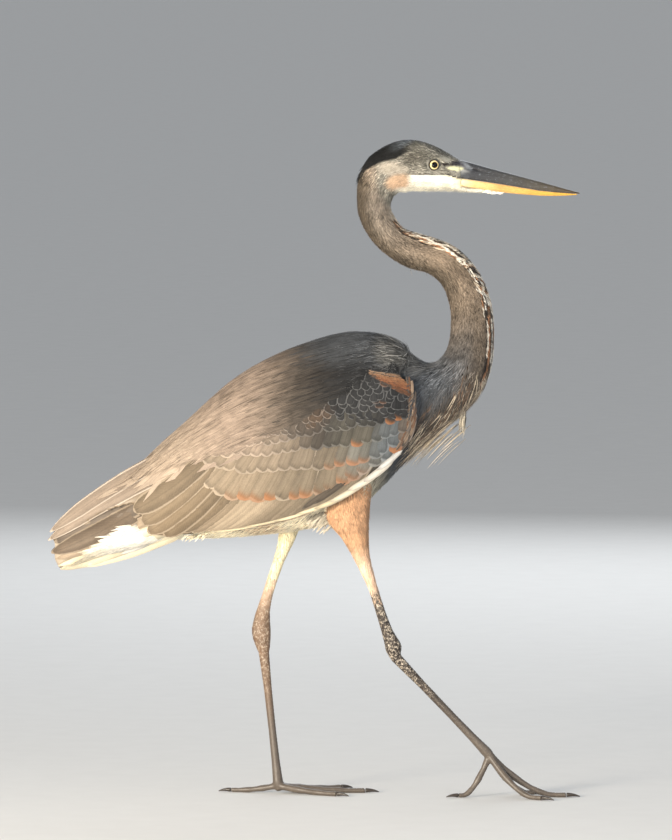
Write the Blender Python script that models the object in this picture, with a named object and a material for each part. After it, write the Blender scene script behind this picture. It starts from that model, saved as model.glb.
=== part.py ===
"""Great blue heron in mid stride: a still, life-size model.

Metres, +Z up. The bird faces +X and its right side is -Y. The origin is on the floor, under the
middle of its length from tail tip to bill tip. Shapes are lofts: a table of cross-sections, with
a smooth curve between them. Tables are in millimetres.
"""

import math

import bmesh
import bpy

MM = 0.001
GAP = 0.3 * MM

# Driving dimensions of the bird, in metres.
MIDDLE_TOE_LENGTH = 0.100
MIDDLE_CLAW_LENGTH = 0.016
TOE_RADIUS = 0.0046
TOE_REST = 0.0027
TOE_TOUCHES = 0.82
EYE_RADIUS = 0.0074
EYE_CENTRE = (0.1370, 0.7240)
EYE_SPREAD = 0.0128
FLOOR = 0.0
SHARP_EDGE = math.radians(50)

# Number of corners round each kind of section.
BODY_SIDES = 24
NECK_SIDES = 16
BILL_SIDES = 10
TAIL_SIDES = 14
LEG_SIDES = 10
TOE_SIDES = 8
EYE_SIDES = 12
EYE_RINGS = 8

# Sections of the body: top x, top z, bottom x, bottom z, half width. They run from the tail's root
# to the neck's root, and the back is low here because the mantle and the wings lie over it.
TRUNK_SECTIONS = (
    (-176, 338, -176, 293, 21),
    (-140, 374, -140, 294, 33),
    (-100, 419, -100, 295, 45),
    (-60, 462, -60, 298, 54),
    (-18, 496, -18, 303, 60),
    (30, 519, 28, 313, 62),
    (72, 521, 63, 338, 56),
    (104, 511, 98, 374, 47),
    (126, 498, 127, 404, 39),
)

TRUNK_EGG = 0.08

# Sections of the neck, from its root on the breast up through both bends of the S to the nape.
NECK_SECTIONS = (
    (126, 498, 127, 404, 39),
    (138, 498, 177, 443, 30),
    (151, 511, 202, 483, 24),
    (156, 537, 207, 530, 19.5),
    (154, 564, 203, 568, 17),
    (145, 586, 189, 602, 16.5),
    (129, 599, 164, 629, 17),
    (106, 605, 134, 642, 17.5),
    (78, 623, 106, 650, 16),
    (60, 644, 94, 663, 15.5),
    (49, 671, 88, 678, 15.5),
    (49, 708, 96, 691, 16.5),
)
NECK_STEPS = 3
NECK_LENGTHS = {
    # name: its first and last row of the table.
    "neck_base": (0, 2),
    "neck_lower": (2, 5),
    "neck_middle": (5, 8),
    "neck_upper": (8, 11),
}

# Sections of the head, from the nape forward to the root of the bill.
HEAD_SECTIONS = (
    (49, 708, 96, 691, 16.5),
    (62, 733, 111, 693.5, 17.8),
    (90, 750, 127, 693, 19),
    (115, 752.7, 140, 693, 19),
    (140, 745, 154, 693, 17.2),
    (168, 729, 170, 693, 12),
)

# Sections of the bill and chin: x, top z, bottom z, half width. The bill shuts on a straight seam,
# and each half is widest towards it.
BILL_EGG = 0.2
UPPER_BILL_SECTIONS = (
    (170, 728.4, 708.4, 11),
    (213, 716.2, 701.8, 7.6),
    (259, 703.9, 694.0, 4.6),
    (290, 695.0, 691.0, 2.2),
    (303.8, 691.3, 690.2, 0.7),
)
LOWER_BILL_SECTIONS = (
    (170, 708.0, 698.0, 10),
    (190, 704.8, 695.6, 8.4),
    (217, 700.8, 691.4, 6.6),
    (259, 693.6, 687.9, 4.0),
    (288, 690.9, 688.0, 2.0),
    (301, 689.8, 689.0, 0.8),
)
CHIN_SECTIONS = (
    (171, 697.2, 693.1, 8.6),
    (192, 694.9, 692.2, 6.2),
    (213, 691.5, 690.7, 2.6),
)

# The outside of the folded wings and the mantle: x, top z, bottom z, half width. The bottom is
# lower than any feather, because the wing's own outline cuts it off.
PLUMAGE_SECTIONS = (
    (-305, 303, 289, 4),
    (-276, 331, 262, 16),
    (-238, 354, 262, 25),
    (-204, 376, 270, 34),
    (-176, 403, 276, 42),
    (-142, 433, 280, 51),
    (-96, 475, 283, 62),
    (-50, 503, 287, 70),
    (-5, 521, 292, 75),
    (41, 533, 306, 76),
    (81, 530, 332, 69),
    (104, 519, 352, 58),
    (119, 506, 372, 49),
    (132, 490, 392, 41),
)
FEATHER_LAYER = 6.5
HOLLOW_FRONT = -136
HOLLOW_END = (-320, 286, 280, 1)

# The wing's outline from the side, as x and z: the edge that the scapulars cover, the wrist, the
# leading edge down to the belly, the secondaries' tips and the primaries' tips.
WING_TOP_EDGE = (
    (-202, 378),
    (-142, 397),
    (-60, 413),
    (-22, 426),
    (13, 447),
    (41, 465),
    (67, 481),
    (99, 484),
)
WRIST = ((113, 475), (121, 454), (119, 434), (112, 415), (97, 394))
WING_LOWER_EDGE = ((66, 369), (30, 345), (-20, 326), (-50, 312), (-96, 306), (-142, 301))
SECONDARY_TIPS = ((-170, 300), (-187, 302), (-198, 318), (-207, 335))
PRIMARY_TIPS = ((-245, 323), (-291, 298), (-304, 291), (-312, 305))
BEHIND_THE_SCAPULARS = (-230, 380)
MANTLE_FRONT = ((100, 485), (108, 500))
ABOVE_THE_BACK = ((108, 600), (-202, 600))
SIDE_REACH = 0.12

TAIL_SECTIONS = (
    (-176.6, 337, 292, 21),
    (-200, 333, 283, 24),
    (-228, 326, 277, 26),
    (-254, 317, 272, 27),
    (-280, 306, 260, 24),
    (-294, 297, 256, 17),
    (-301, 288, 270, 8),
)

# The legs: front x, front z, back x, back z, y, half width, from inside the body to the ankle.
RIGHT_THIGH = (
    (70, 368, 10, 350, -28, 17),
    (65, 336, 13, 318, -33, 20),
    (63.5, 300, 30, 299, -35, 14.5),
    (65, 276, 43.5, 276, -34, 9.5),
    (70, 253, 56, 253, -33, 6.6),
    (74, 238.5, 62.5, 238.5, -32.5, 5.6),
)
RIGHT_SHANK = (
    (74, 238.5, 62.5, 238.5, -32.5, 5.2),
    (81.5, 215, 70, 214, -32, 5.2),
    (90.5, 192, 77, 190, -31.5, 6.4),
    (98, 180, 80.5, 176, -31, 7.6),
    (100.5, 173, 82.5, 167, -31, 7.6),
    (99.3, 164.6, 89.7, 155.4, -31, 6.2),
)
LEFT_THIGH = (
    (3, 368, -45, 362, 30, 17),
    (-4, 332, -47, 326, 33, 19),
    (-15, 306, -42, 303, 33, 13.5),
    (-24, 285, -43, 285, 31, 9),
    (-34, 265, -48.5, 265, 28, 6.4),
    (-41, 247, -54, 247, 26, 5.6),
)
LEFT_SHANK = (
    (-41, 247, -54, 247, 26, 5.2),
    (-47, 228, -60, 228, 23.5, 5.2),
    (-50.5, 207, -67.5, 207, 21, 6.4),
    (-49.5, 190, -71.5, 190, 19.5, 7.6),
    (-49.5, 178, -70.5, 178, 18.5, 7.6),
    (-50.8, 164.8, -64.8, 163.2, 17.3, 6.2),
)

# Where each foot's toes meet: the front foot is still coming down, so only its toes' ends rest.
RIGHT_ANKLE = (94.5, -31, 160)
LEFT_ANKLE = (-57.8, 17.3, 164)
RIGHT_TOE_ROOT = (200.3, -30, 49)
LEFT_TOE_ROOT = (-41, 13, 8.6)
FOOT_REACH = 0.0195
# The toes curve down to the floor, taper and bulge at their joints.
TOE_CURVE = 1.6
TOE_STEPS = 7
TOE_TAPER = 0.36
TOE_JOINTS = 3
TOE_JOINT_BULGE = 0.10
HIND_TOE_SHARE = 0.56
HIND_TOE_TURN = 0.2
HIND_TOE_GIRTH = 0.92
RIGHT_HIND_DROP = 0.046
LEFT_HIND_DROP = 0.0088
# The claws: share of the length, thickness as a share of the toe's end.
CLAW_SIZES = ((0.3, 0.74), (0.65, 0.50), (1, 0.16))
CLAW_ARCH = 0.004
CLAW_CROWN = 0.6
# Thickness of the tarsus and of the ball of the foot: share of the way from ankle to toes, radius.
TARSUS_SIZES = ((0, 6.4), (0.1, 5.8), (0.28, 4.8), (0.6, 4.5), (0.82, 5.0), (0.93, 5.8))
BALL_SIZES = ((0.894, 5.8), (0.93, 6.2), (0.96, 5.8), (0.99, 4.2), (1.0, 2.2))
BALL_END = 1.04
TOES = {
    # name: heading from straight ahead in degrees, outward positive; length as a share.
    "middle": (2, 1.0),
    "inner": (-28, 0.76),
    "outer": (31, 0.84),
}

COLOURS = {
    "slate": (0.105, 0.100, 0.098),
    "taupe": (0.235, 0.190, 0.155),
    "crown": (0.060, 0.065, 0.075),
    "chin": (0.620, 0.580, 0.500),
    "wing": (0.210, 0.180, 0.150),
    "tail": (0.300, 0.260, 0.215),
    "rust": (0.420, 0.260, 0.150),
    "leg": (0.150, 0.115, 0.085),
    "claw": (0.030, 0.025, 0.022),
    "bill_dark": (0.060, 0.055, 0.050),
    "bill_yellow": (0.750, 0.450, 0.110),
    "iris": (0.800, 0.560, 0.070),
}
ROUGHNESS = {"iris": 0.08, "bill_dark": 0.38, "bill_yellow": 0.38, "claw": 0.35, "leg": 0.6}
PLUMAGE_ROUGHNESS = 0.85


def clear_scene():
    """Removes whatever the file opened with."""
    for item in list(bpy.data.objects):
        bpy.data.objects.remove(item, do_unlink=True)


def paint(thing, colour):
    """Gives an object its own Principled material."""
    material = bpy.data.materials.new(thing.name)
    material.use_nodes = True
    shader = material.node_tree.nodes["Principled BSDF"]
    shader.inputs["Base Color"].default_value = (*COLOURS[colour], 1.0)
    shader.inputs["Roughness"].default_value = ROUGHNESS.get(colour, PLUMAGE_ROUGHNESS)
    shader.inputs["Metallic"].default_value = 0.0
    thing.data.materials.append(material)


def smooth(rows, steps):
    """A smooth curve through every row of a table, with so many steps between two rows."""
    rows = [tuple(map(float, row)) for row in rows]
    fine = []
    for index in range(len(rows) - 1):
        start, end = rows[index], rows[index + 1]
        before = rows[index - 1] if index else start
        after = rows[index + 2] if index + 2 < len(rows) else end
        for step in range(steps):
            t = step / steps
            fine.append(tuple(blend(t, *four) for four in zip(before, start, end, after)))
    return fine + [rows[-1]]


def blend(t, before, start, end, after):
    """One value of a Catmull-Rom curve between start and end."""
    slope = end - before
    bend = 2 * before - 5 * start + 4 * end - after
    twist = 3 * start - before - 3 * end + after
    return start + 0.5 * t * (slope + t * (bend + t * twist))


def oval(top, bottom, half_width, sides, egg=0.0):
    """A flat ring between a top and a bottom point; egg makes its upper half the wider one."""
    ring = []
    for index in range(sides):
        angle = 2 * math.pi * (index + 0.5) / sides
        across = half_width * math.cos(angle) * (1 + egg * math.sin(angle))
        up = 0.5 * (1 + math.sin(angle))
        x = bottom[0] + (top[0] - bottom[0]) * up
        y = bottom[1] + (top[1] - bottom[1]) * up + across
        z = bottom[2] + (top[2] - bottom[2]) * up
        ring.append((x * MM, y * MM, z * MM))
    return ring


def grown(top, bottom, grow):
    """Top and bottom moved apart by grow at each end."""
    length = math.dist(top, bottom)
    step = [(a - b) / length * grow for a, b in zip(top, bottom)]
    return (
        tuple(a + s for a, s in zip(top, step)),
        tuple(b - s for b, s in zip(bottom, step)),
    )


def loft(name, rings):
    """A closed solid through rings of equally many points, with a flat face at each end."""
    mesh = bpy.data.meshes.new(name)
    work = bmesh.new()
    loops = [[work.verts.new(point) for point in ring] for ring in rings]
    for first, second in zip(loops, loops[1:]):
        for index in range(len(first)):
            following = (index + 1) % len(first)
            work.faces.new((first[index], first[following], second[following], second[index]))
    work.faces.new(loops[0])
    work.faces.new(loops[-1])
    bmesh.ops.recalc_face_normals(work, faces=work.faces)
    work.to_mesh(mesh)
    work.free()
    mesh.shade_smooth()
    mesh.set_sharp_from_angle(angle=SHARP_EDGE)
    thing = bpy.data.objects.new(name, mesh)
    bpy.context.collection.objects.link(thing)
    return thing


def shortened(rings, at_start=True, at_end=True):
    """Draws the end rings in by half a gap, so that two neighbours stay apart."""
    rings = [list(ring) for ring in rings]
    ends = [(0, 1)] * at_start + [(-1, -2)] * at_end
    for end, inner in ends:
        centre = [sum(axis) / len(rings[end]) for axis in zip(*rings[end])]
        inside = [sum(axis) / len(rings[inner]) for axis in zip(*rings[inner])]
        share = GAP / 2 / math.dist(centre, inside)
        pairs = zip(rings[end], rings[inner])
        rings[end] = [tuple(a + (b - a) * share for a, b in zip(p, q)) for p, q in pairs]
    return rings


def spine_rings(rows, steps, sides, egg=0.0, grow=0.0):
    """Rings of the trunk, neck or head, whose sections lean as the spine bends."""
    rings = []
    for x_top, z_top, x_bottom, z_bottom, half in smooth(rows, steps):
        top, bottom = grown((x_top, 0, z_top), (x_bottom, 0, z_bottom), grow)
        rings.append(oval(top, bottom, half + grow, sides, egg))
    return rings


def upright_rings(rows, steps, sides, egg=0.0, grow=0.0):
    """Rings that stand square to X: the bill, the chin, the tail and the plumage."""
    rings = []
    for x, top, bottom, half in smooth(rows, steps):
        rings.append(oval((x, 0, top + grow), (x, 0, bottom - grow), half + grow, sides, egg))
    return rings


def leg_rings(rows, steps, sides):
    """Rings of one leg, from its front and back edge."""
    rings = []
    for x_front, z_front, x_back, z_back, y, half in smooth(rows, steps):
        rings.append(oval((x_front, y, z_front), (x_back, y, z_back), half, sides))
    return rings


def helper(thing):
    """Marks a cutter, which is no part of the bird."""
    thing.hide_render = True
    thing.display_type = "WIRE"
    return thing


def combine(thing, other, operation):
    """Adds an exact Boolean to an object."""
    boolean = thing.modifiers.new(other.name, "BOOLEAN")
    boolean.operation = operation
    boolean.solver = "EXACT"
    boolean.object = other


def prism(name, outline, y_from, y_to):
    """An outline in X and Z, in millimetres, drawn out along Y."""
    near = [(x * MM, y_from, z * MM) for x, z in outline]
    far = [(x * MM, y_to, z * MM) for x, z in outline]
    return loft(name, [near, far])


def make_trunk_and_neck():
    """The body under the wings, and the neck in four lengths."""
    trunk = loft("trunk", shortened(spine_rings(TRUNK_SECTIONS, 2, BODY_SIDES, TRUNK_EGG)))
    paint(trunk, "slate")
    rings = spine_rings(NECK_SECTIONS, NECK_STEPS, NECK_SIDES)
    for name, (first, last) in NECK_LENGTHS.items():
        length = loft(name, shortened(rings[first * NECK_STEPS : last * NECK_STEPS + 1]))
        paint(length, "taupe")


def make_head():
    """The head with its two eye sockets, and the chin below the bill."""
    head = loft("head", shortened(spine_rings(HEAD_SECTIONS, 3, NECK_SIDES)))
    paint(head, "crown")
    for side, name in ((-1, "right"), (1, "left")):
        eye = make_eye(f"eye_{name}", side, EYE_RADIUS)
        paint(eye, "iris")
        combine(head, helper(make_eye(f"socket_{name}", side, EYE_RADIUS + GAP)), "DIFFERENCE")
    chin = loft("chin", upright_rings(CHIN_SECTIONS, 2, BILL_SIDES))
    paint(chin, "chin")


def make_eye(name, side, radius):
    """A round eye with its axis across the head."""
    mesh = bpy.data.meshes.new(name)
    work = bmesh.new()
    bmesh.ops.create_uvsphere(work, u_segments=EYE_SIDES, v_segments=EYE_RINGS, radius=radius)
    for vertex in work.verts:
        x, y, z = vertex.co
        vertex.co = (x + EYE_CENTRE[0], -z + side * EYE_SPREAD, y + EYE_CENTRE[1])
    bmesh.ops.recalc_face_normals(work, faces=work.faces)
    work.to_mesh(mesh)
    work.free()
    mesh.shade_smooth()
    eye = bpy.data.objects.new(name, mesh)
    bpy.context.collection.objects.link(eye)
    return eye


def make_bill():
    """The two halves of the shut bill."""
    upper = loft("bill_upper", upright_rings(UPPER_BILL_SECTIONS, 2, BILL_SIDES, -BILL_EGG))
    paint(upper, "bill_dark")
    lower = loft("bill_lower", upright_rings(LOWER_BILL_SECTIONS, 2, BILL_SIDES, BILL_EGG))
    paint(lower, "bill_yellow")


def plumage(name, grow=0.0):
    """The outer surface that the folded wings and the mantle share."""
    return helper(loft(name, upright_rings(PLUMAGE_SECTIONS, 2, BODY_SIDES, grow=grow)))


def hollow_under_wings():
    """The open space over the tail, between the folded flight feathers."""
    rows = [row for row in smooth(PLUMAGE_SECTIONS, 2) if row[0] < HOLLOW_FRONT]
    inside = [HOLLOW_END]
    for x, top, bottom, half in rows:
        inside.append((x, top - FEATHER_LAYER, bottom, max(half - FEATHER_LAYER, 1)))
    return helper(loft("hollow", upright_rings(inside, 1, BODY_SIDES)))


def wing_outline():
    """The wing from the side; past the scapulars its upper edge is the plumage's own."""
    edge = WING_TOP_EDGE + WRIST + WING_LOWER_EDGE + SECONDARY_TIPS + PRIMARY_TIPS
    return edge + (BEHIND_THE_SCAPULARS,)


def mantle_outline():
    """The mantle and scapulars from the side, down to the wing's covered edge."""
    gap = GAP / MM
    lower = tuple((x, z + gap) for x, z in WING_TOP_EDGE)
    return lower + MANTLE_FRONT + ABOVE_THE_BACK


def make_plumage():
    """The mantle and both folded wings, cut out of one outer surface."""
    outside = plumage("plumage")
    hollow = hollow_under_wings()
    core = helper(loft("core", spine_rings(TRUNK_SECTIONS, 2, BODY_SIDES, TRUNK_EGG, GAP / MM)))
    around_tail = upright_rings(TAIL_SECTIONS, 1, TAIL_SIDES, grow=GAP / MM)
    tail_room = helper(loft("tail_room", around_tail))
    pieces = (
        ("mantle", mantle_outline(), -SIDE_REACH, SIDE_REACH, "slate"),
        ("wing_right", wing_outline(), -SIDE_REACH, -GAP / 2, "wing"),
        ("wing_left", wing_outline(), GAP / 2, SIDE_REACH, "wing"),
    )
    for name, outline, y_from, y_to, colour in pieces:
        piece = prism(name, outline, y_from, y_to)
        combine(piece, outside, "INTERSECT")
        for cutter in (core, hollow, tail_room):
            combine(piece, cutter, "DIFFERENCE")
        paint(piece, colour)


def make_tail():
    """The folded tail with its coverts."""
    tail = loft("tail", upright_rings(TAIL_SECTIONS, 1, TAIL_SIDES))
    paint(tail, "tail")


def make_leg(name, thigh_rows, shank_rows, ankle, toe_root):
    """The feathered thigh, the bare shank and the tarsus of one leg."""
    rings = leg_rings(thigh_rows, 2, LEG_SIDES)
    thigh = loft(f"thigh_{name}", shortened(rings, at_start=False))
    combine(thigh, bpy.data.objects["core"], "DIFFERENCE")
    combine(thigh, helper(wing_room(name)), "DIFFERENCE")
    paint(thigh, "rust")
    shank = loft(f"shank_{name}", shortened(leg_rings(shank_rows, 2, LEG_SIDES)))
    paint(shank, "leg")
    rings = bone_rings(metres(ankle), metres(toe_root), TARSUS_SIZES)
    tarsus = loft(f"tarsus_{name}", shortened(rings))
    paint(tarsus, "leg")


def wing_room(name):
    """The wing on this side, grown by a gap, which the thigh keeps clear of."""
    side = -1 if name == "right" else 1
    grow = GAP / MM
    outline = [(x, z - grow) for x, z in wing_outline()]
    ends = sorted((side * SIDE_REACH, side * GAP))
    room = prism(f"wing_room_{name}", outline, *ends)
    combine(room, plumage(f"plumage_{name}", grow), "INTERSECT")
    return room


def bone_rings(start, end, sizes):
    """Rings square to the line from start to end: share of the way, radius in millimetres."""
    rings = []
    for share, size in sizes:
        centre = lerp(start, end, share)
        rings.append(round_ring(centre, start, end, size * MM, LEG_SIDES, FLOOR))
    return rings


def metres(point):
    """A point of the tables in metres."""
    return [value * MM for value in point]


def lerp(start, end, share):
    """The point that lies so far from start to end."""
    return [a + (b - a) * share for a, b in zip(start, end)]


def round_ring(centre, start, end, radius, sides, floor=None):
    """A circle square to the line from start to end, flattened where it would pass the floor."""
    along = [b - a for a, b in zip(start, end)]
    flat = math.hypot(along[0], along[1])
    length = math.hypot(flat, along[2])
    side = (-along[1] / flat, along[0] / flat, 0.0)
    up = (-along[0] * along[2] / flat / length, -along[1] * along[2] / flat / length, flat / length)
    ring = []
    for index in range(sides):
        angle = 2 * math.pi * (index + 0.5) / sides
        across, rise = radius * math.cos(angle), radius * math.sin(angle)
        point = [c + s * across + u * rise for c, s, u in zip(centre, side, up)]
        if floor is not None:
            point[2] = max(point[2], floor)
        ring.append(tuple(point))
    return ring


def make_foot(name, ankle, root, outward, hind_drop):
    """The ball of the foot with three toes forward and one back, all resting on the floor."""
    start, end = metres(ankle), metres(root)
    past = lerp(start, end, BALL_END)
    ball = loft(f"foot_{name}", shortened(bone_rings(start, past, BALL_SIZES), at_end=False))
    paint(ball, "leg")
    drop = root[2] * MM
    for toe, (heading, share) in TOES.items():
        turn = math.radians(heading) * outward
        make_toe(ball, f"{toe}_{name}", root, turn, MIDDLE_TOE_LENGTH * share, drop, 1.0)
    turn = math.pi - HIND_TOE_TURN * outward
    length = MIDDLE_TOE_LENGTH * HIND_TOE_SHARE
    make_toe(ball, f"hind_{name}", root, turn, length, hind_drop, HIND_TOE_GIRTH)


def make_toe(ball, name, root, turn, length, drop, girth):
    """One toe that curves down until it lies on the floor, its hooked claw, and its root."""
    fall = drop - TOE_REST
    reach = math.sqrt(length**2 - fall**2)
    root_share = FOOT_REACH / length
    shares = [0.0, root_share / 2]
    shares += [root_share + (1 - root_share) * step / TOE_STEPS for step in range(TOE_STEPS + 1)]
    path = []
    for share in shares:
        height = TOE_REST + fall * max(1 - share / TOE_TOUCHES, 0) ** TOE_CURVE
        bulge = 1 + TOE_JOINT_BULGE * math.cos(2 * math.pi * TOE_JOINTS * share)
        radius = girth * TOE_RADIUS * (1 - TOE_TAPER * share) * bulge
        path.append((reach * share, height, radius))
    end_ahead, end_height, end_radius = path[-1]
    for share, size in CLAW_SIZES:
        ahead = end_ahead + MIDDLE_CLAW_LENGTH * girth * share
        height = end_height + CLAW_ARCH * share * (CLAW_CROWN - share)
        path.append((ahead, height, end_radius * size))
    rings = toe_rings(root, turn, path)
    root_rings, toe_end = rings[:3], 3 + TOE_STEPS
    combine(ball, helper(loft(f"root_{name}", shortened(root_rings, at_start=False))), "UNION")
    toe = loft(f"toe_{name}", shortened(rings[2:toe_end]))
    paint(toe, "leg")
    claw = loft(f"claw_{name}", shortened(rings[toe_end - 1 :], at_end=False))
    paint(claw, "claw")


def toe_rings(root, turn, path):
    """Rings along a path that leaves the foot's middle in one direction."""
    points = []
    for ahead, height, _ in path:
        x = root[0] * MM + ahead * math.cos(turn)
        y = root[1] * MM + ahead * math.sin(turn)
        points.append((x, y, height))
    rings = []
    for index, point in enumerate(points):
        start = points[max(index - 1, 0)]
        end = points[min(index + 1, len(points) - 1)]
        rings.append(round_ring(point, start, end, path[index][2], TOE_SIDES, FLOOR))
    return rings


clear_scene()
make_trunk_and_neck()
make_head()
make_bill()
make_plumage()
make_tail()
make_leg("right", RIGHT_THIGH, RIGHT_SHANK, RIGHT_ANKLE, RIGHT_TOE_ROOT)
make_leg("left", LEFT_THIGH, LEFT_SHANK, LEFT_ANKLE, LEFT_TOE_ROOT)
make_foot("right", RIGHT_ANKLE, RIGHT_TOE_ROOT, -1, RIGHT_HIND_DROP)
make_foot("left", LEFT_ANKLE, LEFT_TOE_ROOT, 1, LEFT_HIND_DROP)
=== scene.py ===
# %% [markdown]
# # A great blue heron, walking
# A life-size bird over a set of plain solids. The solids give its size, its pose and its outline.
# This lesson lays a skin just inside them, and then covers the skin with feathers made of mesh.
# Every feather is a small sheet of faces, so it exports to any program, which hair curves do not.

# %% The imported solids
import math
from contextlib import contextmanager
from functools import partial

import bmesh
import bpy
import numpy as np
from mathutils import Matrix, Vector
from mathutils.bvhtree import BVHTree


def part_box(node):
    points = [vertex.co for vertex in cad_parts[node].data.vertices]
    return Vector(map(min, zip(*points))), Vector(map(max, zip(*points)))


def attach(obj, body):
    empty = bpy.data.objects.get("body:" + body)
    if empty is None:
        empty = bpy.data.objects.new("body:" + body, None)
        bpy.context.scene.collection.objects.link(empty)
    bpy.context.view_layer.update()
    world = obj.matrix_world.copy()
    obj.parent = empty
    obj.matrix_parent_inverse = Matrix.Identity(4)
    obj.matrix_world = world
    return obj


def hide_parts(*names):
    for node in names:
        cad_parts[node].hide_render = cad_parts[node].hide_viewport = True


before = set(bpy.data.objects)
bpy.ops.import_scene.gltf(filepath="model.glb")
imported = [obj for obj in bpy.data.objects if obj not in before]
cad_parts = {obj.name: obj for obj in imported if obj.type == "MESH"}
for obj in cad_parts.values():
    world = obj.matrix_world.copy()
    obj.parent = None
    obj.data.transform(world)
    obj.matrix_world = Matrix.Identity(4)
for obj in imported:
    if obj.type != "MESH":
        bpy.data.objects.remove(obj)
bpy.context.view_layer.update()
MM = 0.001

# %% [markdown]
# ## Which solids are flesh
# Feathered parts get a coat, and bare parts keep their scaly skin. Both are flesh, so one skin
# stands for all of them. The eyes, the bill and the claws are other stuff and stay separate.

# %% The parts of the bird
SIDES = {"right": -1, "left": 1}
TOES = ("middle", "inner", "outer", "hind")
FEATHERED = ["trunk", "mantle", "neck_base", "neck_lower", "neck_middle", "neck_upper"]
FEATHERED += ["head", "chin", "tail"]
FEATHERED += [f"{part}_{side}" for part in ("wing", "thigh") for side in SIDES]
BARE = [f"{part}_{side}" for part in ("shank", "tarsus", "foot") for side in SIDES]
BARE += [f"toe_{toe}_{side}" for toe in TOES for side in SIDES]
FLESH = FEATHERED + BARE
NUMBER = {node: index for index, node in enumerate(FLESH)}


def read(items, field, width=3, kind=float):
    """A field of a mesh's points, edges or corners as an array with one row for each."""
    values = np.empty(len(items) * width, kind)
    items.foreach_get(field, values)
    return values.reshape(-1, width)


def gathered(nodes):
    """The points, the triangles and each triangle's node number of several solids."""
    points, faces, owner, count = [], [], [], 0
    for node in nodes:
        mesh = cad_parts[node].data
        mesh.calc_loop_triangles()
        points.append(read(mesh.vertices, "co"))
        faces.append(read(mesh.loop_triangles, "vertices", kind=int) + count)
        owner.append(np.full(len(faces[-1]), NUMBER.get(node, -1)))
        count += len(points[-1])
    return np.concatenate(points), np.concatenate(faces), np.concatenate(owner)


print("flesh solids:", len(FLESH))

# %% [markdown]
# ## One surface round many solids
# A voxel remesh fills the joints between neighbouring solids, and a short smoothing takes away
# the steps that voxels leave. Sculptors start a body in the same way. The alternative, a Boolean
# union, would keep every flat facet of the solids.


# %% A cast of the body
def new_object(name, data):
    """A new object, linked into the scene."""
    thing = bpy.data.objects.new(name, data)
    bpy.context.collection.objects.link(thing)
    return thing


def applied(thing):
    """The mesh that an object's modifiers make. The object itself is removed."""
    seen = bpy.context.evaluated_depsgraph_get()
    made = bpy.data.meshes.new_from_object(thing.evaluated_get(seen))
    bpy.data.objects.remove(thing)
    return made


def cast(nodes, voxel, passes):
    """One closed surface round several solids: its points, faces and normals."""
    points, faces, _ = gathered(nodes)
    mesh = bpy.data.meshes.new("cast")
    mesh.from_pydata(points.tolist(), [], faces.tolist())
    thing = new_object("cast", mesh)
    remesh = thing.modifiers.new("voxels", "REMESH")
    remesh.mode = "VOXEL"
    remesh.voxel_size = voxel
    relax = thing.modifiers.new("relax", "SMOOTH")
    relax.iterations = passes
    made = applied(thing)
    points, normals = read(made.vertices, "co"), read(made.vertices, "normal")
    quads = read(made.loops, "vertex_index", 1, int).reshape(-1, 4)
    bpy.data.meshes.remove(made)
    return points, quads, normals


class Surface:
    """A closed surface that feathers can be laid on."""

    def __init__(self, points, quads, normals):
        self.tree = BVHTree.FromPolygons(points.tolist(), quads.tolist())
        self.face_normals = unit(normals[quads].sum(1))

    def nearest(self, places):
        """The nearest places on the surface, and its soft normal there."""
        find = self.tree.find_nearest
        found = [find(place) for place in places.tolist()]
        spots = np.array([spot for spot, _, _, _ in found])
        return spots, self.face_normals[[index for _, _, index, _ in found]]


def unit(vectors):
    """The same vectors at length one."""
    return vectors / np.maximum(np.linalg.norm(vectors, axis=-1, keepdims=True), 1e-12)


FORM_VOXEL = 2.4 * MM
form_points, form_quads, form_normals = cast(FLESH, FORM_VOXEL, 6)
form = Surface(form_points, form_quads, form_normals)
print("form faces:", len(form_quads))

# %% [markdown]
# ## Where a point lies on the bird
# A bird is a bent tube. Two numbers place any point on it: how far along the spine, from the bill
# to the tail, and how far round from the belly side. Feathers lie tailwards along this tube, and
# the markings of the neck follow it through both bends.

# %% The spine
SPINE = np.array([
    (170, 712), (147, 719), (127, 722), (104, 721), (86, 713), (74, 698), (69, 676), (77, 653),
    (92, 637), (120, 623), (147, 613), (167, 594), (178, 566), (181, 533), (176, 497), (157, 470),
    (127, 451), (101, 441), (67, 429), (29, 416), (-18, 399), (-60, 380), (-100, 357), (-140, 334),
    (-176, 315), (-228, 300), (-310, 275),
], float) * MM
SPINE_STEPS = np.linalg.norm(np.diff(SPINE, axis=0), axis=1)
SPINE_AT = np.concatenate([[0], np.cumsum(SPINE_STEPS)])


def along_spine(places):
    """Distance along the spine, angle round it from the belly side, and the spine's direction."""
    flat = places[:, [0, 2]]
    start, step = SPINE[:-1], np.diff(SPINE, axis=0)
    share = ((flat[:, None] - start) * step).sum(2) / (step**2).sum(1)
    share = np.clip(share, 0, 1)
    spot = start + share[..., None] * step
    away = np.linalg.norm(flat[:, None] - spot, axis=2)
    best = away.argmin(1)
    rows = np.arange(len(flat))
    share = share[rows, best]
    distance = SPINE_AT[best] + share * SPINE_STEPS[best]
    before = np.clip(best - 1, 0, len(step) - 1)
    after = np.clip(best + 1, 0, len(step) - 1)
    ways = unit(step)
    soft = np.where(share[:, None] < 0.5, ways[before], ways[after])
    bend = np.abs(share - 0.5)[:, None]
    way = unit(ways[best] * (1 - bend) + soft * bend)
    belly = np.stack([-way[:, 1], way[:, 0]], 1)
    offset = flat - spot[rows, best]
    round_it = np.arctan2(places[:, 1], (offset * belly).sum(1))
    return distance, round_it, np.stack([way[:, 0], np.zeros(len(way)), way[:, 1]], 1)


print("spine length:", round(float(SPINE_AT[-1]), 3), "m")

# %% [markdown]
# ## How deep the coat is
# The solids reach out to the feather tips, so the skin lies inside them by the coat's depth: two
# millimetres on the face, more than five on the shoulders. Thin parts, such as the folded wing's
# tip, keep at least a third of their thickness.

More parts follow.
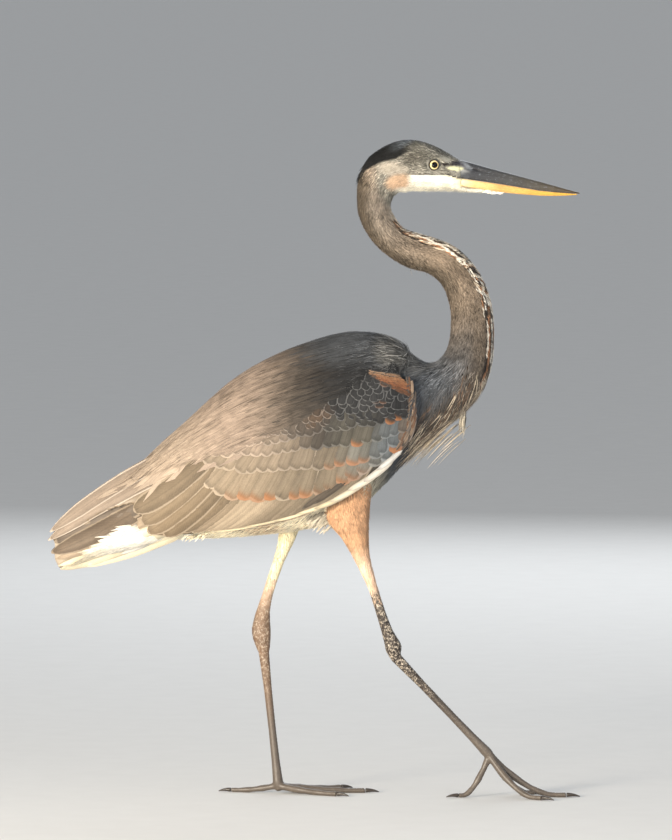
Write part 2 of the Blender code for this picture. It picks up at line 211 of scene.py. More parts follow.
# %% Coat depth
DEPTHS = {"head": 1.9, "chin": 0.9, "neck_upper": 3.0, "neck_middle": 3.2, "neck_lower": 3.6}
DEPTHS |= {"neck_base": 4.5, "trunk": 4.5, "mantle": 5.5, "tail": 3.5}
DEPTHS |= {f"wing_{side}": 5.0 for side in SIDES}
DEPTHS |= {f"thigh_{side}": 2.4 for side in SIDES}
DEPTH_OF = np.array([DEPTHS.get(node, 0.0) for node in FLESH]) * MM
flesh_points, flesh_faces, flesh_owner = gathered(FLESH)
flesh_tree = BVHTree.FromPolygons(flesh_points.tolist(), flesh_faces.tolist())


def labels(places):
    """The number of the solid that each place lies on."""
    find = flesh_tree.find_nearest
    return flesh_owner[[find(place)[2] for place in places.tolist()]]


def spread(values, quads, passes):
    """Evens out one value per point by averaging over faces."""
    for _ in range(passes):
        mean = values[quads].mean(1)
        total = np.bincount(quads.ravel(), np.repeat(mean, 4), len(values))
        values = total / np.maximum(np.bincount(quads.ravel(), minlength=len(values)), 1)
    return values


def coat_depth(points, quads, normals):
    """The coat's depth at each point of a surface."""
    depth = spread(DEPTH_OF[labels(points)], quads, 12)
    tree = BVHTree.FromPolygons(points.tolist(), quads.tolist())
    starts = (points - normals * 0.2 * MM).tolist()
    hits = [tree.ray_cast(p, n)[3] for p, n in zip(starts, (-normals).tolist())]
    thick = np.array([1.0 if hit is None else hit for hit in hits])
    return spread(np.minimum(depth, thick / 3), quads, 3)


SKIN_VOXEL = 2.9 * MM
body_points, body_quads, body_normals = cast(FEATHERED, SKIN_VOXEL, 5)
body_depth = coat_depth(body_points, body_quads, body_normals)
print("coat depth, mm:", [round(float(v) / MM, 1) for v in (body_depth.min(), body_depth.max())])

# %% [markdown]
# ## Markings
# Skin and feathers ask the same function for their colour, so a gap between two feathers shows
# skin of the right shade. The function mixes a few plain colours with soft masks. Each mask is
# an oval or a ramp along the bird.

# %% Colour masks
# Among these, the nape's colour is painted shade, the sand is painted warm sunlight on the rear of the
# back, and the belly's cream is made brighter as painted light.
CROWN, MOTTLE, CHEEK = (0.012, 0.012, 0.012), (0.240, 0.225, 0.190), (0.46, 0.41, 0.34)
BUFF, CREAM, LORE = (0.55, 0.385, 0.26), (0.92, 0.88, 0.76), (0.80, 0.78, 0.48)
TAUPE, SHADED_NAPE, SLATE = (0.220, 0.168, 0.122), (0.090, 0.070, 0.050), (0.085, 0.092, 0.103)
SUNLIT_SAND = (0.42, 0.33, 0.25)
WHITE, STRAW, THIGH = (0.86, 0.83, 0.76), (0.84, 0.60, 0.43), (0.58, 0.34, 0.195)
CREAM_BELLY_LIT, SHANK, TOE = (0.96, 0.87, 0.66), (0.030, 0.021, 0.016), (0.10, 0.080, 0.064)


def ramp(values, low, high):
    """0 below low, 1 above high, and a soft step between."""
    share = np.clip((values - low) / (high - low), 0, 1)
    return share * share * (3 - 2 * share)


def oval(x, z, centre, size, turn=0.0, soft=0.35):
    """1 inside an oval in side view, 0 outside it, with a soft edge. Millimetres and degrees."""
    c, s = math.cos(math.radians(turn)), math.sin(math.radians(turn))
    dx, dz = x - centre[0], z - centre[1]
    far = np.hypot((dx * c + dz * s) / size[0], (dz * c - dx * s) / size[1])
    return 1 - ramp(far, 1 - soft, 1 + soft)


def mixed(colours, other, mask):
    """Colours moved towards another colour where the mask is 1."""
    return colours + (np.asarray(other) - colours) * np.asarray(mask)[:, None]


def painted(colours, strokes):
    """Colours with more of them laid over, each where its own mask is 1."""
    for other, mask in strokes:
        colours = mixed(colours, other, mask)
    return colours


def plain(colour, like):
    """One colour, repeated once for each entry of another array."""
    return np.tile(np.array(colour), (len(like), 1))


def between(values, stations, rows):
    """Rows of a table, read off between its stations."""
    return np.stack([np.interp(values, stations, column) for column in zip(*rows)], 1)


def side_view(places):
    """x and z of places, in millimetres."""
    return places[:, 0] / MM, places[:, 2] / MM


# %% Colours of the head
def gape(x):
    """Height of the line between the two halves of the bill, which runs back under the eye."""
    stations = (104, 152, 164, 190, 213, 259, 290)
    return np.interp(x, stations, (712.6, 712.6, 708.8, 705.0, 701.5, 693.9, 691.0))


print("height of the gape at the eye, mm:", float(gape(137)))


def face_marks(colour, x, z):
    """The marks that run over the face and the root of the bill alike."""
    colour = painted(colour, [
        ((0.035, 0.028, 0.026), oval(x, z, (154, 724.4), (10, 1.7), -4, 0.3)),
        ((0.040, 0.036, 0.045), oval(x, z, (166, 725.0), (9, 2.2), -14, 0.5)),
        ((0.34, 0.37, 0.41), oval(x, z, (175, 722.5), (6, 2.0), -42, 0.7) * 0.5),
        ((0.34, 0.34, 0.33), oval(x, z, (168, 716.4), (9, 1.4), -8, 0.4) * 0.7),
        (LORE, oval(x, z, (161.5, 719.6), (8.5, 2.2), -4, 0.3)),
        ((0.36, 0.34, 0.29), oval(x, z, (139, 715.4), (15, 1.6), 0, 0.4)),
    ])
    line = np.exp(-(((z - gape(x) - 0.5) / 0.75) ** 2)) * ramp(x, 112, 122) * (1 - 0.35 * ramp(x, 170, 240))
    return mixed(colour, (0.020, 0.018, 0.016), line)


def head_colour(x, z):
    """Dark cap with a greyer top that is partly painted sheen, flecked face, pale cheek and white chin."""
    colour = plain(MOTTLE, x)
    colour = painted(colour, [
        ((0.30, 0.240, 0.185), 1 - ramp(x, 62, 78)),
        (CHEEK, oval(x, z, (90, 719), (17, 8), -6)),
        (BUFF, oval(x, z, (97, 704), (15, 9), 10)),
        ((0.125, 0.115, 0.095), oval(x, z, (113, 731), (15, 8), 20, 0.6)),
    ])
    cap = np.interp(x, (45, 60, 75, 93, 104, 118, 132), (708, 718, 727, 731, 737, 745, 751))
    colour = painted(colour, [
        (CROWN, ramp(z - cap, -1.5, 1.5) * (1 - ramp(x, 98, 124) * 0.85)),
        # the greyer top of the crown: partly its own bluish grey, partly a painted sheen
        ((0.160, 0.180, 0.200), ramp(z - cap, 5, 15) * ramp(x, 80, 112)),
        ((0.55, 0.53, 0.46), oval(x, z, (153, 729), (8, 2.6), -32, 0.6) * 0.8),
    ])
    colour = face_marks(colour, x, z)
    under = 1 - ramp(z - gape(x), -0.9, 0.3)
    colour = mixed(colour, CREAM, ramp(x, 104, 114) * under)
    colour = mixed(colour, (0.90, 0.79, 0.52), ramp(x, 146, 168) * ramp(z, 696.5, 699) * under)
    return mixed(colour, CREAM, ramp(x, 88, 104) * (1 - ramp(z, 694, 700)))


# %% Colours of the neck and the back
def neck_colour(along, turn, x):
    """Warm taupe, darkened at the back of the upper neck by painted shade, slate at the breast, with a pale
    front.
    """
    colour = plain(TAUPE, x)
    colour = mixed(colour, (0.24, 0.200, 0.162), 1 - ramp(along, 0.12, 0.24))
    # painted shade: behind is 1 on the back of the upper neck, which stays in shade, and takes the nape
    # colour
    behind = ramp(np.abs(turn), 1.6, 2.5) * ramp(along, 0.04, 0.08) * (1 - ramp(along, 0.24, 0.32))
    colour = mixed(colour, SHADED_NAPE, behind)
    lower = ramp(along, 0.24, 0.42)
    colour = mixed(colour, (0.074, 0.062, 0.052), lower)
    colour = mixed(colour, SLATE, ramp(along, 0.28, 0.42) * ramp(np.abs(turn), 0.9, 1.9))
    front = 1 - ramp(np.abs(turn), 0.30, 0.75)
    return mixed(colour, (0.58, 0.50, 0.40), front * ramp(along, 0.08, 0.15) * (1 - 0.6 * lower))


def back_colour(x, z):
    """Slate over the shoulders, made paler along the top by painted rim light and tan towards the tail by
    painted warm sunlight.
    """
    top = np.interp(x, (-187, -142, -96, -50, 0, 41, 81, 100), (388, 428, 468, 503, 521, 524, 518, 505))
    # painted rim light: high is 1 near the top outline of the back, where the strokes below make it paler
    high = ramp(z - top, -36, -6)
    colour = plain((0.018, 0.018, 0.019), x)
    # the strokes over high are painted rim light; the brown and tan towards the rear are painted warm
    # sunlight on a slate back
    colour = painted(colour, [
        ((0.068, 0.072, 0.078), high),
        ((0.165, 0.158, 0.145), high * ramp(x, 66, 92)),
        ((0.066, 0.054, 0.044), 1 - ramp(x + 12 * high, -24, 38)),
        ((0.32, 0.245, 0.190), 1 - ramp(x - 10 * high, -84, -8)),
    ])
    # painted warm sunlight: sand at the tail end
    return mixed(colour, SUNLIT_SAND, 1 - ramp(x, -180, -80))


# %% Colours of the wing and the legs
def wing_colour(x, z):
    """Dark scaly shoulder, tan coverts, and blue-grey and rusty patches at the wrist, over the back's
    colours with their painted rim light and painted warm sunlight.
    """
    # the back's colours, with their painted rim light and painted warm sunlight, shifted onto the wing
    colour = back_colour(x + 0.4 * (z - 420), z)
    colour = mixed(colour, (0.085, 0.077, 0.062), ramp(x, 0, 40) * (1 - ramp(z, 420, 442)))
    colour = mixed(colour, (0.029, 0.029, 0.030), ramp(x, 20, 60) * ramp(z, 422, 442))
    low = 1 - ramp(z, 366, 412)
    colour = painted(colour, [
        ((0.200, 0.160, 0.115), low * (1 - ramp(x, 60, 104) * 0.5)),
        ((0.255, 0.198, 0.138), low * (1 - ramp(x, -110, -10))),
        ((0.205, 0.152, 0.098), (1 - ramp(x, -150, -112)) * (1 - ramp(z, 345, 362))),
        ((0.44, 0.35, 0.25), oval(x, z, (-86, 317), (34, 7), -5, 0.5) * 0.8),
        ((0.19, 0.150, 0.110), oval(x, z, (-36, 402), (36, 9), -12, 0.6) * 0.8),
        ((0.17, 0.170, 0.155), oval(x, z, (48, 384), (24, 13), 20, 0.6) * 0.7),
        ((0.130, 0.142, 0.150), oval(x, z, (82, 407), (14, 22), -35, 0.5)),
        ((0.12, 0.072, 0.042), oval(x, z, (2, 436), (17, 8), 35, 0.7) * 0.5),
    ])
    return mixed(colour, (0.24, 0.135, 0.080), oval(x, z, (112, 426), (9, 27), -12, 0.6) * 0.8)


def leg_colour(x, z, y):
    """Rusty at the top of the near thigh and pale buff below. The far thigh is pale buff all over, as
    painted sunlight.
    """
    colour = plain(THIGH, x)
    colour = mixed(colour, STRAW, 1 - ramp(z, 262, 296))
    # painted sunlight: the far thigh, where y is above 0, is made pale all over
    return mixed(colour, (0.93, 0.83, 0.57), ramp(y, -5, 5))


def shin_colour(y, z):
    """Pale where the feathers end, dark and net-marked below. The far leg gets paler colours as painted
    sunlight, and stays pale for longer.
    """
    # painted sunlight: far is 1 on the far leg, whose pale and dark colours are both made paler
    far = ramp(y, -5, 5)
    bare = 1 - ramp(z, 226 - 28 * far, 252 - 4 * far)
    pale = mixed(plain(STRAW, z), (0.64, 0.44, 0.305), far)
    ankle = mixed(plain(SHANK, z), (0.16, 0.095, 0.055), far)
    shade = pale + (ankle - pale) * bare[:, None]
    return mixed(shade, TOE, 1 - ramp(z, 60, 150))


# %% One rule for every place
def marking(places, node_numbers):
    """The plumage's colour at each place, in linear light."""
    x, y, z = (places / MM).T
    along, turn, _ = along_spine(places)
    colour = neck_colour(along, turn, x)
    head = ramp(x + 0.8 * (z - 700), 60, 76) * (along < 0.13)
    colour = colour + (head_colour(x, z) - colour) * head[:, None]
    belly = (1 - ramp(np.abs(turn), 1.4, 2.0)) * (1 - ramp(x, 50, 96))
    # the belly's cream is made brighter as painted light, since it faces down into shade
    trunk = mixed(plain(SLATE, x), CREAM_BELLY_LIT, belly)
    tail = plain((0.45, 0.37, 0.28), x)
    legs = leg_colour(x, z, y)
    by_part = {"trunk": trunk, "tail": tail, "mantle": back_colour(x, z)}
    by_part |= {f"wing_{side}": wing_colour(x, z) for side in SIDES}
    by_part |= {f"thigh_{side}": legs for side in SIDES}
    shins = shin_colour(y, z)
    by_part |= {node: shins for node in BARE}
    for node, shade in by_part.items():
        mask = node_numbers == NUMBER[node]
        colour[mask] = shade[mask]
    # painted light: a paler oval over the shoulder lifts the crease between mantle and neck, which the
    # lamps leave in shade
    shoulder = oval(x, z, (100, 507), (26, 14), -25, 0.7)
    return mixed(colour, (0.235, 0.225, 0.205), shoulder * 0.85 * (along > 0.3))


print("markings for", len(FLESH), "solids")

# %% [markdown]
# ## Node groups for plumage
# Two effects are shared by every coat material, so each is a node group. One mottles a colour
# and shades a tuft from root to tip. The other draws a vane: a pale or rusty fringe, a shaft and
# fine barbs. Both only put out colours and values, and the Principled shader stays outside.


# %% Small helpers for nodes
def put(tree, kind, inputs=None, **settings):
    """Adds a shader node. An input is a plain value or another node's output."""
    made = tree.nodes.new(f"ShaderNode{kind}")
    for name, value in settings.items():
        setattr(made, name, value)
    for name, value in (inputs or {}).items():
        if isinstance(value, bpy.types.NodeSocket):
            tree.links.new(value, made.inputs[name])
        else:
            made.inputs[name].default_value = value
    return made


def maths(operation, tree, *values):
    """The result of a Math node."""
    return put(tree, "Math", dict(enumerate(values)), operation=operation).outputs[0]


plus, less, times = (partial(maths, name) for name in ("ADD", "SUBTRACT", "MULTIPLY"))


def scaled(tree, colour, amount):
    """A colour made brighter or darker by an amount."""
    inputs = {0: colour, "Scale": amount}
    return put(tree, "VectorMath", inputs, operation="SCALE").outputs["Vector"]


def blend_colours(tree, share, *colours):
    """The result of mixing two colours. Each is a plain one or another node's output."""
    socket = bpy.types.NodeSocket
    first, second = (c if isinstance(c, socket) else (*c, 1.0) for c in colours)
    inputs = {0: share, 6: first, 7: second}
    return put(tree, "Mix", inputs, data_type="RGBA").outputs[2]


def on_object(tree):
    """Places in the object's own coordinates, which stay on it wherever it stands."""
    return put(tree, "TexCoord").outputs["Object"]


def noise(tree, place, scale, detail, roughness=0.5):
    """Soft noise from 0 to 1. A bigger scale makes it finer."""
    inputs = {"Vector": place, "Scale": scale, "Detail": detail, "Roughness": roughness}
    return put(tree, "TexNoise", inputs).outputs["Fac"]


def step_up(tree, value, low, high):
    """A soft step from 0 at low to 1 at high."""
    inputs = {"Value": value, "From Min": low, "From Max": high}
    return put(tree, "MapRange", inputs, interpolation_type="SMOOTHSTEP").outputs["Result"]


def group(name, inputs, outputs):
    """A new node group with named inputs, their starting values, and named outputs."""
    tree = bpy.data.node_groups.new(name, "ShaderNodeTree")
    for label, value in inputs.items():
        kind = "NodeSocketFloat" if isinstance(value, float) else "NodeSocketColor"
        socket = tree.interface.new_socket(label, in_out="INPUT", socket_type=kind)
        socket.default_value = value
    for label, kind in outputs.items():
        tree.interface.new_socket(label, in_out="OUTPUT", socket_type=f"NodeSocket{kind}")
    return tree, tree.nodes.new("NodeGroupInput").outputs, tree.nodes.new("NodeGroupOutput")


# %% [markdown]
# Body feathers look mottled, since their barbs lie at all angles. Two noises give that, a coarse
# one for blotches and a fine one for flecks. A painted image would have to be made piece by piece.

# %% The mottle group
GREY = (0.5, 0.5, 0.5, 1.0)


def build_mottle():
    """Soft blotches and fine flecks over a colour, and a darker root on each tuft."""
    inputs = {"Colour": GREY, "Along": 0.5, "Chance": 0.5, "Blotch": 0.2, "Variation": 0.3}
    inputs["Root Shade"] = 0.4
    tree, given, out = group("Mottle", inputs, {"Colour": "Color", "Height": "Float"})
    place = on_object(tree)
    coarse = noise(tree, place, 90.0, 3.0)
    fine = noise(tree, place, 700.0, 2.0)
    blotch = times(tree, less(tree, coarse, 0.5), times(tree, given["Blotch"], 3.0))
    fleck = times(tree, less(tree, fine, 0.5), 0.35)
    spread_out = times(tree, given["Variation"], 2.0)
    luck = times(tree, less(tree, given["Chance"], 0.5), spread_out)
    shade = step_up(tree, given["Along"], 0.0, 0.75)
    shade = times(tree, less(tree, shade, 1.0), given["Root Shade"])
    total = plus(tree, plus(tree, blotch, fleck), plus(tree, luck, shade))
    total = maths("MAXIMUM", tree, plus(tree, total, 1.0), 0.12)
    tree.links.new(scaled(tree, given["Colour"], total), out.inputs["Colour"])
    tree.links.new(fine, out.inputs["Height"])
    return tree


MOTTLE_GROUP = build_mottle()
print("group:", MOTTLE_GROUP.name)

# %% [markdown]
# The vane group reads three values that every feather's mesh carries: how far along the feather a
# point is, how far across (-1 to 1), and a chance number that is the same all over one feather.


# %% The vane group
def build_vane():
    """A fringe, a shaft and barbs over a feather's colour."""
    inputs = {"Colour": GREY, "Fringe": GREY, "Fringe Amount": 0.0, "Along": 0.5, "Across": 0.0}
    inputs |= {"Chance": 0.5, "Fringe Width": 0.15, "Shaft": 0.3, "Barbs": 0.2, "Stretch": 4.5}
    inputs |= {"Dusk": 0.2, "Band": GREY, "Band Amount": 0.0}
    tree, given, out = group("Vane", inputs, {"Colour": "Color", "Height": "Float"})
    wide = maths("ABSOLUTE", tree, given["Across"])
    tip = times(tree, less(tree, 1.0, given["Along"]), given["Stretch"])
    edge = maths("MAXIMUM", tree, wide, less(tree, 1.0, tip))
    ragged = noise(tree, on_object(tree), 900.0, 1.0)
    edge = plus(tree, edge, times(tree, less(tree, ragged, 0.5), 0.12))
    inner = less(tree, 0.98, given["Fringe Width"])
    fringe = maths("DIVIDE", tree, less(tree, edge, inner), given["Fringe Width"])
    fringe = times(tree, step_up(tree, fringe, 0.0, 0.55), given["Fringe Amount"])
    slant = less(tree, times(tree, given["Along"], 150.0), times(tree, wide, 26.0))
    slant = plus(tree, slant, times(tree, given["Chance"], 40.0))
    barb = maths("SINE", tree, slant)
    barb_shade = times(tree, barb, times(tree, given["Barbs"], 0.5))
    shaft = less(tree, 1.0, step_up(tree, wide, 0.02, 0.11))
    dark = times(tree, shaft, times(tree, given["Shaft"], -1.0))
    late = times(tree, step_up(tree, edge, 0.1, 0.85), given["Dusk"])
    lines = put(tree, "CombineXYZ", {"Z": times(tree, given["Chance"], 50.0)})
    tree.links.new(times(tree, given["Across"], 5.0), lines.inputs["X"])
    tree.links.new(times(tree, given["Along"], 2.0), lines.inputs["Y"])
    streak = noise(tree, lines.outputs[0], 1.0, 2.0)
    streak = times(tree, less(tree, streak, 0.5), 0.35)
    shade = plus(tree, plus(tree, barb_shade, dark), 1.0)
    shade = plus(tree, less(tree, shade, late), streak)
    band = times(tree, step_up(tree, edge, 0.0, 0.9), given["Band Amount"])
    band = times(tree, band, step_up(tree, given["Along"], 0.70, 0.92))
    colour = scaled(tree, given["Colour"], shade)
    colour = blend_colours(tree, fringe, colour, given["Fringe"])
    colour = blend_colours(tree, band, colour, given["Band"])
    tree.links.new(colour, out.inputs["Colour"])
    height = plus(tree, times(tree, barb, 0.3), shaft)
    tree.links.new(height, out.inputs["Height"])
    return tree


VANE_GROUP = build_vane()
print("group:", VANE_GROUP.name)

# %% [markdown]
# Feathers are dull, with a weak sheen. Each coat reads its colour from the mesh, so a material can
# serve many pieces, and only a few amounts differ from coat to coat.


# %% Coat materials
def carried(tree, name, output="Fac"):
    """A value or colour that the mesh carries."""
    return put(tree, "Attribute", attribute_name=name).outputs[output]


def fresh_material(name, roughness, sheen=0.0, coat=0.0, shine=0.5):
    """A Principled material with its constants set on the shader's own sockets."""
    material = bpy.data.materials.new(name)
    material.use_nodes = True
    shader = material.node_tree.nodes["Principled BSDF"]
    shader.inputs["Roughness"].default_value = roughness
    shader.inputs["Sheen Weight"].default_value = sheen
    shader.inputs["Sheen Roughness"].default_value = 0.4
    shader.inputs["Coat Weight"].default_value = coat
    shader.inputs["Specular IOR Level"].default_value = shine
    return material, material.node_tree, shader


def dressed(tree, shader, colour, height, strength, distance):
    """Feeds a colour into the shader, and a height as bumps on its surface."""
    tree.links.new(colour, shader.inputs["Base Color"])
    bump = put(tree, "Bump", {"Height": height, "Strength": strength, "Distance": distance})
    tree.links.new(bump.outputs["Normal"], shader.inputs["Normal"])


def mottled(tree, along, chance, blotch, variation, root_shade):
    """The mottle group over the colour that the mesh carries: its outputs."""
    given = {"Colour": carried(tree, "tint", "Color"), "Along": along, "Chance": chance}
    given |= {"Blotch": blotch, "Variation": variation, "Root Shade": root_shade}
    return put(tree, "Group", given, node_tree=MOTTLE_GROUP).outputs


def tuft_material(name, blotch, variation, root_shade):
    """Hair-like body plumage: the marking's colour, mottled, darker at each root."""
    material, tree, shader = fresh_material(name, 0.72, sheen=0.05, shine=0.25)
    along, chance = carried(tree, "along"), carried(tree, "chance")
    mottle = mottled(tree, along, chance, blotch, variation, root_shade)
    dressed(tree, shader, mottle["Colour"], mottle["Height"], 0.25, 0.3 * MM)
    return material


BAND = (0.34, 0.140, 0.055)


def vane_material(name, fringe_width, shaft, barbs, stretch, dusk, blotch=0.10):
    """Coverts and quills: the marking's colour, mottled, then fringe, shaft and barbs."""
    material, tree, shader = fresh_material(name, 0.62, sheen=0.04, shine=0.25)
    along, chance = carried(tree, "along"), carried(tree, "chance")
    colour = mottled(tree, along, chance, blotch, 0.10, 0.15)["Colour"]
    given = {"Colour": colour, "Fringe": carried(tree, "fringe", "Color")}
    given |= {"Fringe Amount": carried(tree, "fringed"), "Fringe Width": fringe_width}
    given |= {"Along": along, "Across": carried(tree, "across"), "Chance": chance}
    given |= {"Shaft": shaft, "Barbs": barbs, "Stretch": stretch, "Dusk": dusk}
    given |= {"Band": (*BAND, 1.0), "Band Amount": carried(tree, "banded")}
    vane = put(tree, "Group", given, node_tree=VANE_GROUP).outputs
    dressed(tree, shader, vane["Colour"], vane["Height"], 0.35, 0.25 * MM)
    return material


HEAD_COAT = tuft_material("head feathers", 0.25, 0.20, 0.25)
NECK_COAT = tuft_material("neck feathers", 0.55, 0.35, 0.45)
BODY_COAT = tuft_material("body feathers", 0.25, 0.28, 0.45)
BACK_COAT = tuft_material("back feathers", 0.20, 0.13, 0.18)
COVERTS = vane_material("coverts", 0.30, 0.10, 0.06, 3.4, 0.36)
QUILLS = vane_material("flight feathers", 0.20, 0.14, 0.06, 9.0, 0.28)
SCAPULARS = vane_material("scapulars", 0.30, 0.10, 0.08, 12.0, 0.15, blotch=0.15)
COATS = (HEAD_COAT, NECK_COAT, BODY_COAT, BACK_COAT, COVERTS, QUILLS, SCAPULARS)
print("coat materials:", [material.name for material in COATS])

# %% [markdown]
# ## Making many feathers at once
# A feather is a strip along a centre line, so many feathers are one array: feather, row, column.
# NumPy fills it in one step, which takes seconds where a Python loop over vertices would take
# minutes. A small tuft is an open blade with a ridge. A large vane is closed, front and back.


# %% Meshes from arrays
class Coat:
    """Collects feathers, and becomes one mesh at the end."""

    def __init__(self, name):
        self.name, self.count, self.feathers, self.parts = name, 0, 0, []

    def add(self, grid, along, across, thick=0.0, **values):
        """Adds feathers from a grid of points (feather, row, column, xyz).

        along has a value for each row, across one for each column, and the rest one a feather.
        """
        n, rows, cols, _ = grid.shape
        flat = np.arange(n * rows * cols).reshape(n, rows, cols)
        points, quads = [grid.reshape(-1, 3)], [corners(flat)]
        values = {"fringed": np.zeros(n), "banded": np.zeros(n), "fringe": values["tint"]} | values
        values["number"] = self.feathers + np.arange(n)
        values = {name: value[:, None, None] for name, value in values.items()}
        values |= {"along": along[None, :, None], "across": across[None, None]}
        rim = np.ones((1, rows, cols))
        rim[:, 1:-1, 1:-1] = 0
        values["rim"] = rim * (thick > 0)
        sheet = {}
        for name, value in values.items():
            tail = value.shape[3:]
            full = np.broadcast_to(value, (n, rows, cols, *tail))
            inner = full[:, 1:-1, 1:-1].reshape(-1, *tail)
            sheet[name] = full.reshape(-1, *tail)
            if thick:
                sheet[name] = np.concatenate([sheet[name], inner])
        if thick:
            inner = grid[:, 1:-1, 1:-1]
            down_it = grid[:, 2:, 1:-1] - grid[:, :-2, 1:-1]
            lift = unit(np.cross(down_it, grid[:, 1:-1, 2:] - grid[:, 1:-1, :-2]))
            back = flat.copy()
            back[:, 1:-1, 1:-1] = flat.size + np.arange(inner.size // 3).reshape(inner.shape[:3])
            points.append((inner - lift * thick).reshape(-1, 3))
            quads.append(corners(back)[:, ::-1])
        self.parts.append((np.concatenate(points), np.concatenate(quads) + self.count, sheet))
        self.count += sum(len(part) for part in points)
        self.feathers += n

    def finish(self, material, chart=False):
        """The mesh object, riding on the bird."""
        points = np.concatenate([part[0] for part in self.parts])
        quads = np.concatenate([part[1] for part in self.parts])
        sheet = {k: np.concatenate([part[2][k] for part in self.parts]) for k in self.parts[0][2]}
        thing = mesh_object(self.name, points, quads)
        thing.data.materials.append(material)
        for name in ("along", "across", "chance", "fringed", "banded"):
            put_values(thing.data, name, sheet[name])
        for name in ("tint", "fringe"):
            put_colours(thing.data, name, sheet[name])
        sharpen_rims(thing.data, sheet["rim"] > 0)
        bake_map(thing.data, sheet, quads, self.feathers if chart else 0)
        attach(thing, "root")
        print(f"{self.name}: {self.feathers} feathers, {2 * len(quads)} triangles")
        return thing


# %% From arrays to meshes
def corners(flat):
    """The quads of a grid of point numbers."""
    quads = [flat[:, :-1, :-1], flat[:, 1:, :-1], flat[:, 1:, 1:], flat[:, :-1, 1:]]
    return np.stack(quads, axis=-1).reshape(-1, 4)


def mesh_object(name, points, quads):
    """A smooth mesh object from arrays."""
    mesh = bpy.data.meshes.new(name)
    mesh.vertices.add(len(points))
    mesh.vertices.foreach_set("co", points.astype(np.float32).ravel())
    mesh.loops.add(quads.size)
    mesh.loops.foreach_set("vertex_index", quads.astype(np.int32).ravel())
    mesh.polygons.add(len(quads))
    mesh.polygons.foreach_set("loop_start", np.arange(0, quads.size, 4, dtype=np.int32))
    mesh.update(calc_edges=True)
    mesh.shade_smooth()
    return new_object(name, mesh)


def sharpen_rims(mesh, rim):
    """Keeps a vane flat to its edge: without this, shading would roll round the rim."""
    ends = read(mesh.edges, "vertices", 2, np.int32)
    sharp = mesh.attributes.new("sharp_edge", "BOOLEAN", "EDGE")
    sharp.data.foreach_set("value", rim[ends].all(1))


def put_values(mesh, name, values):
    """Writes one value per point."""
    attribute = mesh.attributes.new(name, "FLOAT", "POINT")
    attribute.data.foreach_set("value", values.astype(np.float32).ravel())


def put_colours(mesh, name, colours):
    """Writes one colour per point, with nothing see-through."""
    attribute = mesh.attributes.new(name, "FLOAT_COLOR", "POINT")
    full = np.concatenate([colours, np.ones((len(colours), 1))], 1)
    attribute.data.foreach_set("color", full.astype(np.float32).ravel())


print("faces in a tuft of 4 rows and 3 columns:", len(corners(np.zeros((1, 4, 3)))))

# %% [markdown]
# An exporter paints each piece's colours into an image through the map named OFBake. A tuft is
# too small to get room of its own there, so it gets a patch 0.003 across at its root's place on
# the unrolled tube of the body: distance along the spine one way, angle round it the other.

# %% The bake map
PATCH = 0.003
MARGIN = 0.004


def unrolled(places):
    """Root places on the unrolled tube of the skin: along the spine, and round it."""
    along, turn, _ = along_spine(places)
    return np.stack([along, turn], 1)


def bake_map(mesh, sheet, quads, cells):
    """The OFBake map: a small patch a tuft, or a cell of a chart a large feather."""
    if cells:
        grid = math.ceil(math.sqrt(cells))
        number = sheet["number"]
        corner = np.stack([number % grid, number // grid], 1) / grid
        inside = np.stack([(sheet["across"] + 1) / 2, sheet["along"]], 1)
        flat = corner + (MARGIN + inside * (1 - 2 * MARGIN)) / grid
    else:
        root = sheet["root"]
        root = (root - root.min(0)) / np.maximum(np.ptp(root, axis=0), 1e-9)
        inside = np.stack([sheet["across"] / 2, sheet["along"] - 0.5], 1)
        flat = MARGIN + root * (1 - 2 * MARGIN) + PATCH * inside
    layer = mesh.uv_layers.new(name="OFBake")
    layer.data.foreach_set("uv", flat[quads.ravel()].astype(np.float32).ravel())


print("patch size:", PATCH)

# %% [markdown]
# ## Laying tufts along the body
# A tuft starts on the skin, sunk under the coat, and rises to the solids' outline at its tip. Its
# centre line is walked over the surface in short steps: step tailwards, drop back onto the
# surface, turn to stay along it. So tufts bend with the neck instead of sticking out of it.

# %% Tufts on the form
form_triangles = np.concatenate([form_quads[:, [0, 1, 2]], form_quads[:, [0, 2, 3]]])
triangle_labels = np.tile(labels(form_points[form_quads].mean(1)), 2)
form_corners = form_points[form_triangles]
form_edges = form_corners[:, 1:] - form_corners[:, :1]
form_areas = np.linalg.norm(np.cross(form_edges[:, 0], form_edges[:, 1]), axis=1) / 2


def scatter(rng, nodes, count, keep=None):
    """Random places on some of the form's parts, with each place's node number.

    keep is a rule that gives a place's chance, from 0 to 1.
    """
    numbers = [NUMBER[node] for node in nodes]
    areas = form_areas * np.isin(triangle_labels, numbers)
    if keep is not None:
        areas = areas * keep(form_corners.mean(1))
    chosen = rng.choice(len(areas), count, p=areas / areas.sum())
    a, b = np.sqrt(rng.random(count)), rng.random(count)
    share = np.stack([1 - a, a * (1 - b), a * b], 1)
    return (form_corners[chosen] * share[..., None]).sum(1), triangle_labels[chosen]


# %% Centre lines over the form
def laid_flat(ways, normals):
    """Directions laid flat on the surface, at length one."""
    return unit(ways - (ways * normals).sum(1, keepdims=True) * normals)


def tailwards(places, normals):
    """The direction in which feathers lie: along the spine, flat on the surface."""
    return laid_flat(along_spine(places)[2], normals)


def turned(ways, normals, angles):
    """Directions turned round the normals."""
    across = np.cross(normals, ways)
    return ways * np.cos(angles)[:, None] + across * np.sin(angles)[:, None]


